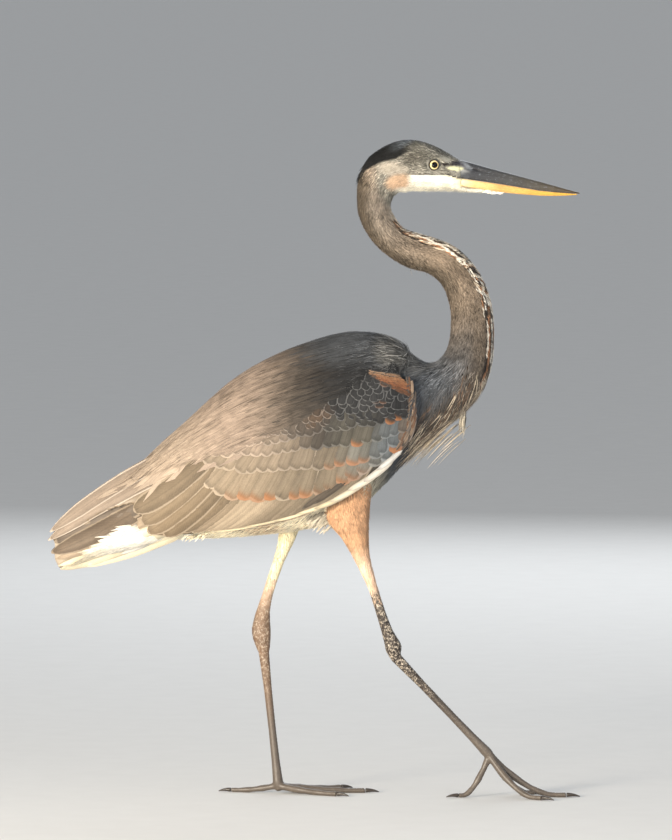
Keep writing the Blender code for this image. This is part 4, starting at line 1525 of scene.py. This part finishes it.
# %% The wing's pale front edge
EDGE_FEATHERS = (
    # root, tip and width, from the front to the rear
    ((100, 401), (72, 378), 7), ((90, 390), (56, 364), 8.5), ((76, 377), (38, 354), 8),
    ((58, 364), (18, 341), 7), ((42, 353), (0, 333), 6.0), ((22, 342), (-20, 327), 4.6),
    ((2, 334), (-46, 318), 3.4), ((-24, 325), (-80, 311.5), 2.8), ((-58, 315), (-118, 305.5), 2.6),
)
EDGE_WHITE, EDGE_CREAM = (0.64, 0.62, 0.59), (0.66, 0.55, 0.37)
# two dark vanes under the white edge: their tint is a dark feather and painted shadow together
DARK_FEATHERS_IN_SHADE = (((42, 370), (0, 339), 7), ((26, 361), (-14, 333), 7))
SHADOW_TINT = (0.11, 0.088, 0.068)


def white_edge(coat, side, rng):
    """The long pale feathers along the front edge of the wing, whitest at the front, and two dark vanes
    under it, tinted as a dark feather and painted shadow together.
    """
    for root, tip, width in DARK_FEATHERS_IN_SHADE:
        look = {"root": -0.9, "tip": -0.35, "outline": LONG, "rows": 9, "fringed": 0.3}
        vane(coat, rng, side, root, tip, width, tint=SHADOW_TINT, **look)
    for number, (root, tip, width) in enumerate(EDGE_FEATHERS):
        look = {"root": -0.9, "tip": -0.3, "outline": LONG, "rows": 11, "bend": 0.03}
        look |= {"fringed": 0.35, "fringe": (0.30, 0.27, 0.23), "vary": 0.08}
        tint = mixed(np.array([EDGE_WHITE]), EDGE_CREAM, [min(1.0, number / 4)])
        vane(coat, rng, side, root, tip, width, tint=tint, **look)


# %% The rusty patch at the shoulder
PATCH_FRONT, PATCH_TIP = ((112, 459), (110, 474), (96, 487)), (64, 488)
PATCH_COUNT = 420
PATCH_SHARES = (0.0, 0.3, 0.7, 1.0)
PATCH_TINTS = [(0.11, 0.058, 0.036), (0.26, 0.105, 0.050), (0.33, 0.165, 0.085), (0.34, 0.235, 0.16)]


def shoulder_patch(coat, side, rng):
    """A fan of narrow rusty feathers that sweeps back from the wrist, paler along its top."""
    share, back = rng.random(PATCH_COUNT), rng.random(PATCH_COUNT) ** 1.3
    start = between(share, (0, 0.5, 1), PATCH_FRONT)
    roots = start + (np.array(PATCH_TIP) - start) * (0.72 * back)[:, None]
    heading = np.degrees(np.arctan2(PATCH_TIP[1] + 3 - roots[:, 1], PATCH_TIP[0] - 12 - roots[:, 0]))
    tips = roots * 2 - headed(roots, heading + rng.normal(0, 5, PATCH_COUNT), 13)
    tint = between(share, PATCH_SHARES, PATCH_TINTS)
    rim = ramp(np.abs(share - 0.5), 0.30, 0.5)
    dark = rng.random(PATCH_COUNT) < 0.07 + 0.35 * ramp(back, 0.6, 1.0) + 0.5 * rim
    tint = mixed(tint, (0.060, 0.055, 0.050), dark * 0.85)
    look = {"root": -0.2, "tip": 0.6, "outline": LONG, "rows": 6, "columns": 3, "vary": 0.2}
    order = np.argsort(-roots[:, 0])
    vanes(coat, rng, side, roots[order], tips[order], 1.7, tint=tint[order], fringed=0.1, **look)


for side in SIDES:
    coverts(side, np.random.default_rng(41 if side == "right" else 42))


# %% [markdown]
# A folded tail is a narrow stack, and six feathers a side are enough for it. They are placed one
# by one, from the lowest up. White tufts under its root are laid like those of the body.

# %% Tail
TAIL_BROWN, TAIL_TAN, TAIL_CREAM = (0.20, 0.150, 0.108), (0.36, 0.28, 0.20), (0.90, 0.80, 0.58)
TAIL_FEATHERS = (
    # root, tip, width, height at the tip, colour: from the lowest feather up
    ((-150, 303), (-278, 263), 15, -1.6, TAIL_CREAM),
    ((-158, 312), (-291, 260), 16, -1.4, TAIL_CREAM),
    ((-160, 321), (-293, 264), 13, -1.2, TAIL_CREAM),
    ((-150, 372), (-297, 291), 30, -2.6, (0.15, 0.120, 0.095)),
    ((-165, 334), (-296, 272), 14, -0.9, TAIL_TAN),
    ((-165, 352), (-301, 279), 25, -0.6, TAIL_BROWN),
)
tail = Coat("tail_feathers")
for side, sign in SIDES.items():
    rng = np.random.default_rng(50 + sign)
    for root, tip, width, height, colour in TAIL_FEATHERS:
        look = {"root": height - 0.8, "tip": height, "roll": 0.3, "rows": 15, "bend": 0.03}
        shade = {"tint": colour, "fringe": QUILL_PALE, "fringed": 0.5, "outline": LONG}
        vane(tail, rng, side, root, tip, width, TAILS[side], **look, **shade)
    look = {"tint": WHITE, "outline": LONG, "tip": 0.8, "fringed": 0.0}
    vane(tail, rng, side, (-190, 288), (-221.5, 277.5), 5.0, TAILS[side], **look)
tail.finish(QUILLS, chart=True)


def under_tail(places):
    """1 on the white feathers under the tail's root."""
    x, z = side_view(places)
    line = np.interp(x, (-262, -243, -202, -149, -125), (272, 285, 314, 304, 300))
    return (1 - ramp(z - line, -3, 1)) * ramp(x, -270, -220) * (x < -128)


def whitened(shade, places, rng):
    """White with cream among it."""
    cream = 0.8 * (1 - ramp(places[:, 0] / MM, -262, -215))
    cream = np.maximum(cream, 0.6 * rng.random(len(shade)) ** 2)
    return mixed(shade * 0 + WHITE, (0.86, 0.76, 0.56), cream)


rng = np.random.default_rng(61)
vent = Coat("coat_vent")
look = {"yaw": 5, "wild": 0.25, "lift": 0.5, "sink": 0.2, "keep": under_tail, "recolour": whitened}
sow(vent, rng, ["tail", "trunk"], count=6200, length=26.0, width=2.0, **look)
vent.finish(BODY_COAT)

# %% [markdown]
# ## The feathers at the bill's root
# The face feathers stop in a ragged line where the horn starts. These small ones are rooted right
# at the head's end, sunk at the root, so they hide the joint. They are laid like the vanes of the
# wing, since a side view places them best.

# %% Feathers at the bill's root
edge_coat = Coat("coat_bill_root")
ROOT_COUNT, CHIN_COUNT = 170, 90
CHIN_TOP = (698.3, 696.4, 692.4, 691.0)
for side, sign in SIDES.items():
    rng = np.random.default_rng(70 + sign)
    face = Relief(["head", "bill_upper", "bill_lower"], sign, blurs=0)
    chin = Relief(["chin", "bill_lower"], sign, blurs=0)
    roots = rng.uniform((162.6, 700.5), (164.9, 729.5), (ROOT_COUNT, 2))
    tips = headed(roots, rng.normal(-3, 10, ROOT_COUNT), 5.5)
    middle = (roots + tips) / 2
    places = np.stack([middle[:, 0], np.full(ROOT_COUNT, 5.0 * sign), middle[:, 1]], 1) * MM
    tint = marking(places, np.full(ROOT_COUNT, NUMBER["head"]))
    tint = flecked(tint, places, rng)
    look = {"root": -0.9, "tip": 0.22, "outline": LONG, "rows": 6, "columns": 3, "camber": 0.08}
    vanes(edge_coat, rng, side, roots, tips, 1.0, face, tint=tint, thick=0.1, **look)
    x = rng.uniform(184, 218, CHIN_COUNT)
    deep = rng.uniform(0, 1, CHIN_COUNT) * np.interp(x, (186, 225), (3.0, 0.6))
    roots = np.stack([x, np.interp(x, (165, 189, 215, 225), CHIN_TOP) - deep], 1)
    tips = headed(roots, rng.normal(14, 6, CHIN_COUNT), 5.5)
    vanes(edge_coat, rng, side, roots, tips, 0.9, chin, tint=CREAM, thick=0.1, **look)
edge_coat.finish(HEAD_COAT)

# %% [markdown]
# ## The skin
# One skin runs from the bill to the claws. Under feathers it only has to be the right colour. On
# the legs it shows, with broad scutes across the front and small net-like scales elsewhere. The
# lids and the bare lore are part of it too.


# %% Legs
def lengthwise(node):
    """The middle of a solid, and the direction in which it is longest."""
    points = read(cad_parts[node].data.vertices, "co")
    middle = points.mean(0)
    return middle, np.linalg.svd(points - middle, full_matrices=False)[2][0]


LEG_VOXEL = 1.15 * MM
GROOVE = 0.28 * MM
TOP_OF_SHANK = 2.0 * MM
INTO_THIGH = 5.0 * MM
SCUTE_PITCH = {"shank": 3.4 * MM, "tarsus": 4.2 * MM, "foot": 3.6 * MM, "toe": 3.0 * MM}
leg_points, leg_quads, leg_normals = cast(BARE, LEG_VOXEL, 3)
leg_nodes = labels(leg_points)
grooved = np.zeros(len(leg_points))
for node in BARE:
    mine = leg_nodes == NUMBER[node]
    middle, axis = lengthwise(node)
    wave = ((leg_points[mine] - middle) @ axis) / SCUTE_PITCH[node.split("_")[0]] % 1
    front = leg_normals[mine] @ np.array([0.75, 0, 0.65])
    grooved[mine] = np.exp(-((np.minimum(wave, 1 - wave) / 0.13) ** 2)) * ramp(front, 0.0, 0.5)
leg_points = leg_points - leg_normals * (grooved * GROOVE)[:, None]
for side in SIDES:
    _, axis = lengthwise(f"shank_{side}")
    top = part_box(f"shank_{side}")[1].z
    high = (leg_points[:, 2] > top - TOP_OF_SHANK) & (leg_points[:, 1] * SIDES[side] > 0)
    centre = leg_points[high].mean(0)
    leg_points[high] = centre + (leg_points[high] - centre) * 0.6 + axis * np.sign(axis[2]) * INTO_THIGH
print("leg faces:", len(leg_quads))

# %% [markdown]
# A lid is a ring of bare skin that grips the ball. Eight rings of points start on the ball and end
# under the face's feathers, so they close the gap between the two.

# %% Eyelids
EYE_OUT = 12.8 * MM
EYE_RADIUS = 7.4 * MM
LID_RINGS = np.array([5.2, 5.25, 5.5, 6.0, 6.6, 7.3, 8.2, 9.5]) * MM
LID_LIFT = np.array([-0.6, 0.2, 0.45, 0.4, 0.3, 0.1, -0.9, -2.4]) * MM
LID_DARK = (0.022, 0.018, 0.016)
LID_STEPS = 48
HEADS = {side: Relief(["head"], sign, blurs=1) for side, sign in SIDES.items()}


def tube(rows, cols):
    """The quads of a grid of points whose last column meets its first."""
    ring = np.arange(rows * cols).reshape(rows, cols)
    return corners(np.concatenate([ring, ring[:, :1]], 1)[None])


def eyelids(side):
    """A ring of lid skin over the eyeball's rim: its points and its quads."""
    turn = np.linspace(0, 2 * np.pi, LID_STEPS, endpoint=False)
    fold = 1 + 0.02 * np.sin(turn * 11)
    flat = np.stack([np.cos(turn), np.sin(turn)], 1) * fold[:, None]
    spots = EYE + flat * LID_RINGS[:, None, None]
    far = np.minimum(LID_RINGS, EYE_RADIUS * 0.98)
    ball = EYE_OUT + np.sqrt(EYE_RADIUS**2 - far**2)
    face = HEADS[side].at(spots[..., 0] / MM, spots[..., 1] / MM) * MM
    share = ramp(LID_RINGS, 5.6 * MM, 7.6 * MM)[:, None]
    out = ball[:, None] * (1 - share) + face * share + LID_LIFT[:, None]
    over_ball = (LID_RINGS < 7.35 * MM) & (LID_RINGS > 5.21 * MM)
    out = np.where(over_ball[:, None], np.maximum(out, ball[:, None] + 0.25 * MM), out)
    points = np.stack([spots[..., 0], SIDES[side] * out, spots[..., 1]], -1).reshape(-1, 3)
    quads = tube(len(LID_RINGS), LID_STEPS)
    return points, quads if side == "right" else quads[:, ::-1]


print("rings of a lid:", len(LID_RINGS))

# %% [markdown]
# The cast of the body, the legs and the lids become one mesh with one material. Its scales are
# Voronoi cells, since their edges make the same net of seams that a leg's skin has.


# %% One skin
def scales_group():
    """Net-like scales: a mask of the pale seams between them, and a height."""
    inputs, outputs = {"Size": 400.0, "Seam": 0.1}, {"Seams": "Float", "Height": "Float"}
    tree, given, out = group("Scales", inputs, outputs)
    place = on_object(tree)
    wobble = put(tree, "TexNoise", {"Vector": place, "Scale": 300.0, "Detail": 1.0})
    inputs = {0: wobble.outputs["Color"], 1: (0.002, 0.002, 0.002)}
    moved = put(tree, "VectorMath", inputs, operation="MULTIPLY")
    moved = put(tree, "VectorMath", {0: moved.outputs[0], 1: place}, operation="ADD")
    long = put(tree, "Mapping", {"Vector": moved.outputs[0], "Scale": (1.3, 1.3, 0.42)})
    cells = put(tree, "TexVoronoi", {"Vector": long.outputs[0]}, feature="DISTANCE_TO_EDGE")
    tree.links.new(given["Size"], cells.inputs["Scale"])
    rise = put(tree, "MapRange", {"Value": cells.outputs["Distance"]})
    tree.links.new(given["Seam"], rise.inputs["From Max"])
    tree.links.new(less(tree, 1.0, rise.outputs["Result"]), out.inputs["Seams"])
    tree.links.new(rise.outputs["Result"], out.inputs["Height"])
    return tree


SCALES_GROUP = scales_group()
SEAM_COLOUR = (0.70, 0.60, 0.48)


def skin_material():
    """Skin: its carried colour, blotched, with pale seams between scales where legs are bare."""
    material, tree, shader = fresh_material("skin", 0.42)
    scaly = carried(tree, "scaly")
    mottle = mottled(tree, 1.0, 0.5, plus(tree, times(tree, scaly, 0.55), 0.08), 0.0, 0.0)
    scales = put(tree, "Group", {"Size": 600.0, "Seam": 0.15}, node_tree=SCALES_GROUP)
    patchy = noise(tree, on_object(tree), 320.0, 2.0)
    strength = step_up(tree, patchy, 0.42, 0.62)
    seams = times(tree, times(tree, scales.outputs["Seams"], scaly), strength)
    colour = blend_colours(tree, seams, mottle["Colour"], SEAM_COLOUR)
    height = times(tree, scales.outputs["Height"], scaly)
    height = plus(tree, height, times(tree, mottle["Height"], 0.3))
    dressed(tree, shader, colour, height, 0.6, 0.35 * MM)
    return material


# %% Joining the parts of the skin
bare = bare_face(body_points)
body_depth = body_depth * (1 - 0.85 * bare)
bill_root = ramp(body_points[:, 0] / MM, 148, 161) * (body_points[:, 2] > 0.69)
body_depth = body_depth * (1 - 0.85 * bill_root)
skin_points = body_points - body_normals * body_depth[:, None]
shin = (ramp(leg_points[:, 2] / MM, 95, 150) * 0.9 + 0.1) * np.where(leg_points[:, 1] > 0, 0.6, 1)
parts = [
    (skin_points, body_quads, labels(body_points), np.zeros(len(skin_points))),
    (leg_points, leg_quads, leg_nodes, shin),
]
for side in SIDES:
    points, quads = eyelids(side)
    parts.append((points, quads, np.full(len(points), NUMBER["head"]), np.zeros(len(points))))
points = np.concatenate([part[0] for part in parts])
starts = np.cumsum([0] + [len(part[0]) for part in parts])[:-1]
quads = np.concatenate([part[1] + start for part, start in zip(parts, starts)])
owners = np.concatenate([part[2] for part in parts])
tint = marking(points, owners)
lids = np.arange(len(points)) >= starts[2]
away = np.linalg.norm(points[:, [0, 2]] - EYE, axis=1) / MM
lid_tint = mixed(plain(MOTTLE, points), LID_DARK, 1 - ramp(away, 6.0, 7.0))
tint = np.where(lids[:, None], lid_tint, tint)
skin = mesh_object("skin", points, quads)
skin.data.materials.append(skin_material())
put_colours(skin.data, "tint", tint)
put_values(skin.data, "scaly", np.concatenate([part[3] for part in parts]))
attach(skin, "root")
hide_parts(*FLESH)
print("skin triangles:", 2 * len(quads))

# %% [markdown]
# ## The eyes
# A heron's eye is a clear yellow ring round a black pupil, set just proud of the cheek. The ball
# is turned so that its pole looks out sideways, and the colours follow the angle from that pole.

# %% Eyes
PUPIL, IRIS = 27.0, 43.5
LOOK_AHEAD = math.radians(6)


def eye_material():
    """Black pupil, yellow iris with fine spokes, dark rim, all under a clear wet coat."""
    material, tree, shader = fresh_material("eye", 0.12, coat=0.15, shine=0.15)
    shader.inputs["Coat Roughness"].default_value = 0.03
    turn, spin = carried(tree, "turn"), carried(tree, "spin")
    place = put(tree, "CombineXYZ", {"X": times(tree, spin, 14.0)})
    tree.links.new(times(tree, turn, 0.02), place.inputs["Y"])
    spokes = noise(tree, place.outputs[0], 3.0, 2.0)
    yellow = blend_colours(tree, spokes, (0.80, 0.60, 0.26), (0.92, 0.80, 0.46))
    deep = step_up(tree, turn, PUPIL, PUPIL + 6)
    yellow = blend_colours(tree, deep, (0.34, 0.20, 0.05), yellow)
    open_eye = step_up(tree, turn, PUPIL - 1, PUPIL + 1)
    colour = blend_colours(tree, open_eye, (0.002, 0.002, 0.002), yellow)
    rim = step_up(tree, turn, IRIS - 1.5, IRIS + 1.5)
    colour = blend_colours(tree, rim, colour, (0.012, 0.010, 0.008))
    dressed(tree, shader, colour, spokes, 0.05, 0.1 * MM)
    return material


EYE_MATERIAL = eye_material()


def eyeball(side):
    """A fine ball whose pole looks outwards, with a slight cornea."""
    rows, cols = 40, 48
    turn = np.linspace(0, math.pi, rows + 1)[:, None]
    spin = np.linspace(0, 2 * math.pi, cols, endpoint=False)[None]
    sign = SIDES[side]
    pole = np.array([math.sin(LOOK_AHEAD), sign * math.cos(LOOK_AHEAD), 0.0])
    ahead = np.array([math.cos(LOOK_AHEAD), -sign * math.sin(LOOK_AHEAD), 0.0])
    up = np.array([0, 0, 1.0])
    radius = EYE_RADIUS + 0.35 * MM * np.exp(-((turn / 0.7) ** 2)) * (turn >= 0) - 0.15 * MM
    flat = np.sin(turn)[..., None] * (np.cos(spin)[..., None] * ahead + np.sin(spin)[..., None] * up)
    points = radius[..., None] * (np.cos(turn)[..., None] * pole + flat)
    points = points + np.array([EYE[0], sign * EYE_OUT, EYE[1]])
    quads = tube(rows + 1, cols)
    quads = quads if sign < 0 else quads[:, ::-1]
    ball = mesh_object(f"eyeball_{side}", points.reshape(-1, 3), quads)
    for name, value in (("turn", np.degrees(turn)), ("spin", np.sin(spin * 9))):
        put_values(ball.data, name, np.broadcast_to(value, (rows + 1, cols)))
    with opened(ball.data) as shape:
        bmesh.ops.remove_doubles(shape, verts=shape.verts, dist=0.01 * MM)
    ball.data.materials.append(EYE_MATERIAL)
    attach(ball, "root")
    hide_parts(f"eye_{side}")


@contextmanager
def opened(mesh):
    """A mesh opened for editing as a bmesh, and written back when the work is done."""
    shape = bmesh.new()
    shape.from_mesh(mesh)
    yield shape
    shape.to_mesh(mesh)
    shape.free()
    mesh.shade_smooth()


for side in SIDES:
    eyeball(side)
print("eye radius, mm:", EYE_RADIUS / MM)

# %% [markdown]
# ## The bill
# Each half of the bill is a loft. Its length, depth and width at each station are measured off
# its solid with rays, and a finer section is drawn between them: a ridge on top, a long groove
# for the nostril, and a flat seam where the halves meet.


# %% Bill shapes
def measured(node, stations):
    """Top, bottom and half width of a solid at stations along x."""
    points, faces, _ = gathered([node])
    tree = BVHTree.FromPolygons(points.tolist(), faces.tolist())
    rows = []
    for x in stations:
        top = tree.ray_cast(Vector((x, 0, 1)), Vector((0, 0, -1)))[0]
        low = tree.ray_cast(Vector((x, 0, 0)), Vector((0, 0, 1)))[0]
        levels = np.linspace(low.z, top.z, 9)[1:-1]
        casts = [tree.ray_cast(Vector((x, 0.2, z)), Vector((0, -1, 0)))[0] for z in levels]
        rows.append((top.z, low.z, max(spot.y for spot in casts if spot)))
    return np.array(rows)


BILL_ROOT = ((14, 0.80), (9, 0.94), (4, 1.0))


def bill_half(name, node, up, material, length_steps=110):
    """A loft of one half of the bill. up is 1 for the upper half and -1 for the lower."""
    low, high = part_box(node)
    share = np.linspace(0, 1, length_steps) ** 1.3
    stations = low.x + 0.05 * MM + (high.x - low.x - 0.1 * MM) * share
    top, bottom, half = measured(node, stations).T
    into = np.array(BILL_ROOT)
    stations = np.concatenate([stations[0] - into[:, 0] * MM, stations])
    middle = (top[0] + bottom[0]) / 2
    top = np.concatenate([middle + (top[0] - middle) * into[:, 1], top])
    bottom = np.concatenate([middle + (bottom[0] - middle) * into[:, 1], bottom])
    half = np.concatenate([half[0] * into[:, 1], half])
    round_it = np.linspace(0, math.pi, 25)
    seam, far = (bottom, top) if up > 0 else (top, bottom)
    outward = np.abs(np.cos(round_it)) ** 0.8 * np.sign(np.cos(round_it))
    upward = np.sin(round_it) ** 0.85
    groove = groove_depth(stations, round_it) if up > 0 else 0.0
    y = half[:, None] * outward * (1 - groove)
    z = seam[:, None] + (far - seam)[:, None] * upward
    x = np.broadcast_to(stations[:, None], y.shape)
    grid = np.stack([x, y, z], -1)
    inner = np.linspace(-1, 1, 9)[1:-1]
    floor = np.stack([
        np.broadcast_to(stations[:, None], (len(stations), 7)),
        half[:, None] * inner,
        np.broadcast_to(seam[:, None], (len(stations), 7)) + up * 0.25 * MM,
    ], -1)
    grid = np.concatenate([grid, floor], 1)
    quads = tube(*grid.shape[:2])
    piece = mesh_object(name, grid.reshape(-1, 3), quads if up < 0 else quads[:, ::-1])
    with opened(piece.data) as shape:
        rims = [edge for edge in shape.edges if edge.is_boundary]
        bmesh.ops.holes_fill(shape, edges=rims, sides=0)
        bmesh.ops.recalc_face_normals(shape, faces=shape.faces)
    piece.data.set_sharp_from_angle(angle=math.radians(50))
    colour = bill_colour(*side_view(read(piece.data.vertices, "co")), up)
    put_colours(piece.data, "tint", colour)
    piece.data.materials.append(material)
    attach(piece, "root")
    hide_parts(node)
    return piece


# %% Colours of the bill
SLATE_HORN = [(0.068, 0.072, 0.080), (0.043, 0.043, 0.048), (0.054, 0.053, 0.052)]
SLATE_HORN += [(0.072, 0.060, 0.044), (0.075, 0.047, 0.020)]
CREAM_HORN = [(0.90, 0.79, 0.52), (0.86, 0.60, 0.26), (0.68, 0.38, 0.125), (0.66, 0.37, 0.066)]
CREAM_HORN += [(0.64, 0.34, 0.045)]


def bill_colour(x, z, up):
    """Slate above and cream to yellow below, with the face's marks running onto the root."""
    share = (x - 164) / 139
    if up > 0:
        colour = between(share, (0, 0.14, 0.4, 0.75, 1), SLATE_HORN)
        pale = ramp(z - gape(x) - 30 * (x > 190), 8, 11) * (1 - ramp(x, 168, 178))
        return face_marks(mixed(colour, (0.20, 0.20, 0.20), pale * 0.6), x, z)
    return face_marks(between(share, (0, 0.14, 0.35, 0.7, 1), CREAM_HORN), x, z)


def groove_depth(stations, round_it):
    """The nostril and the groove that runs on from it, as a share of the half width."""
    x = stations[:, None] / MM
    height = np.sin(round_it)[None]
    run = ramp(x, 172, 178) * (1 - ramp(x, 215, 262))
    line = np.exp(-(((height - 0.62) / 0.10) ** 2))
    nostril = np.exp(-(((x - 186) / 5.5) ** 2)) * np.exp(-(((height - 0.60) / 0.07) ** 2))
    return 0.10 * run * line + 0.22 * nostril


print("stations of the bill inside the head:", len(BILL_ROOT))

# %% [markdown]
# Horn grows forward in fibres and wears to paler flecks. Noise that is drawn out along the bill
# gives both, and a thin clear coat gives the dull gloss. On the upper bill the strong flecks are
# also painted glints of its shine.


# %% Horn
def horn_material(name, pale, amount, roughness):
    """Horn: its carried colour with fine lengthwise streaks and paler flecks of wear, which on the upper
    bill are painted glints as well.
    """
    material, tree, shader = fresh_material(name, roughness, coat=0.10, shine=0.35)
    squeeze = {"Vector": on_object(tree), "Scale": (0.25, 1.0, 1.0)}
    squeeze = put(tree, "Mapping", squeeze)
    streak = noise(tree, squeeze.outputs[0], 900.0, 4.0, 0.7)
    mottle = mottled(tree, 1.0, streak, 0.20, 0.35, 0.0)
    flecks = times(tree, step_up(tree, streak, 0.56, 0.72), amount)
    colour = blend_colours(tree, flecks, mottle["Colour"], pale)
    dressed(tree, shader, colour, streak, 0.35, 0.25 * MM)
    return material


BILL_START, BILL_END = (corner.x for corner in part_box("bill_upper"))
# the upper bill's many pale flecks are worn horn and painted glints of its shine together
UPPER_HORN = horn_material("upper bill", (0.30, 0.33, 0.37), 0.55, 0.40)
LOWER_HORN = horn_material("lower bill", (0.92, 0.86, 0.70), 0.15, 0.36)
bill_half("upper_mandible", "bill_upper", 1, UPPER_HORN)
bill_half("lower_mandible", "bill_lower", -1, LOWER_HORN)
print("bill length, mm:", round((BILL_END - BILL_START) / MM, 1))

# %% [markdown]
# ## Claws
# The claws' solids already have the right curve. Each gets a copy with two rounds of subdivision,
# which rounds its facets off, and dark horn.

# %% Claws
CLAW_HORN = horn_material("claw horn", (0.16, 0.13, 0.10), 0.5, 0.35)
CLAW_TINT = (0.045, 0.036, 0.030)


def claw(node):
    """A smooth claw over its solid."""
    thing = new_object("rough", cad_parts[node].data.copy())
    thing.modifiers.new("weld", "WELD").merge_threshold = 0.01 * MM
    thing.modifiers.new("smooth", "SUBSURF").levels = 2
    made = applied(thing)
    made.materials.clear()
    made.materials.append(CLAW_HORN)
    put_colours(made, "tint", plain(CLAW_TINT, made.vertices))
    made.shade_smooth()
    piece = new_object(node.replace("claw", "horn_claw"), made)
    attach(piece, "root")
    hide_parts(node)


for side in SIDES:
    for toe in TOES:
        claw(f"claw_{toe}_{side}")
print("claws:", len(SIDES) * len(TOES))

# %% [markdown]
# ## Floor, light and camera
# A pale matt floor and a pale sky keep the shadows soft. The key light is low, a little warm, and
# stands behind the bird's tail on the near side, so the wing glows and the breast stays dark. A
# long lens far away keeps the proportions of the side view.


# %% Floor
def floor_material():
    """A pale matt floor with a faint grain."""
    material, tree, shader = fresh_material("floor", 0.9)
    grain = noise(tree, on_object(tree), 25.0, 4.0)
    colour = blend_colours(tree, grain, (0.74, 0.73, 0.71), (0.79, 0.78, 0.76))
    tree.links.new(colour, shader.inputs["Base Color"])
    return material


FLOOR_HALF = 40.0
square = np.array([(-1, -1, 0), (1, -1, 0), (1, 1, 0), (-1, 1, 0)]) * FLOOR_HALF
floor = mesh_object("floor", square, np.array([[0, 1, 2, 3]]))
floor.data.materials.append(floor_material())
print("floor, m across:", 2 * FLOOR_HALF)

# %% [markdown]
# Big area lights give the soft shadows of daylight. The key is warm and strong, the fills are cool
# and weak, and a low reflector stands for the light that the ground gives back.

# %% Light
world = bpy.data.worlds.new("sky")
bpy.context.scene.world = world
world.use_nodes = True
sky = world.node_tree.nodes["Background"].inputs
sky["Color"].default_value = (0.86, 0.90, 0.95, 1)
sky["Strength"].default_value = 0.48
AIM = Vector((0.0252, 0.0, 0.4308))


def aimed(thing, place):
    """Puts a lamp or a camera in its place, facing the bird."""
    thing.location = place
    thing.rotation_euler = (AIM - place).to_track_quat("-Z", "Y").to_euler()


def soft_light(name, place, size, power, colour):
    """A square soft light that faces the bird."""
    data = bpy.data.lights.new(name, "AREA")
    data.size, data.energy, data.color = size, power, colour
    aimed(new_object(name, data), Vector(place))


soft_light("key", (-2.3, -3.0, 0.85), 1.0, 205, (1.0, 0.90, 0.75))
soft_light("fill", (2.0, -3.0, 1.5), 2.5, 30, (0.90, 0.95, 1.0))
soft_light("far fill", (0.6, 3.2, 1.9), 2.5, 42, (0.92, 0.96, 1.0))
soft_light("low reflector", (-0.6, -2.2, 0.20), 0.7, 25, (1.0, 0.93, 0.80))
bpy.context.scene.view_settings.view_transform = "Standard"
print("sky strength:", round(sky["Strength"].default_value, 2))

# %% [markdown]
# A lens of 449 mm from twelve metres away draws the near leg and the far one at the same size. A
# short lens up close would swell whatever is nearest.

# %% Camera
DISTANCE, ELEVATION, LENS = 12.0, math.radians(4), 449.0
eye = bpy.data.cameras.new("camera")
eye.lens, eye.sensor_width, eye.clip_end = LENS, 36.0, 100.0
camera = new_object("camera", eye)
aimed(camera, AIM + Vector((0, -math.cos(ELEVATION), math.sin(ELEVATION))) * DISTANCE)
bpy.context.scene.camera = camera
print("lens, mm:", LENS)
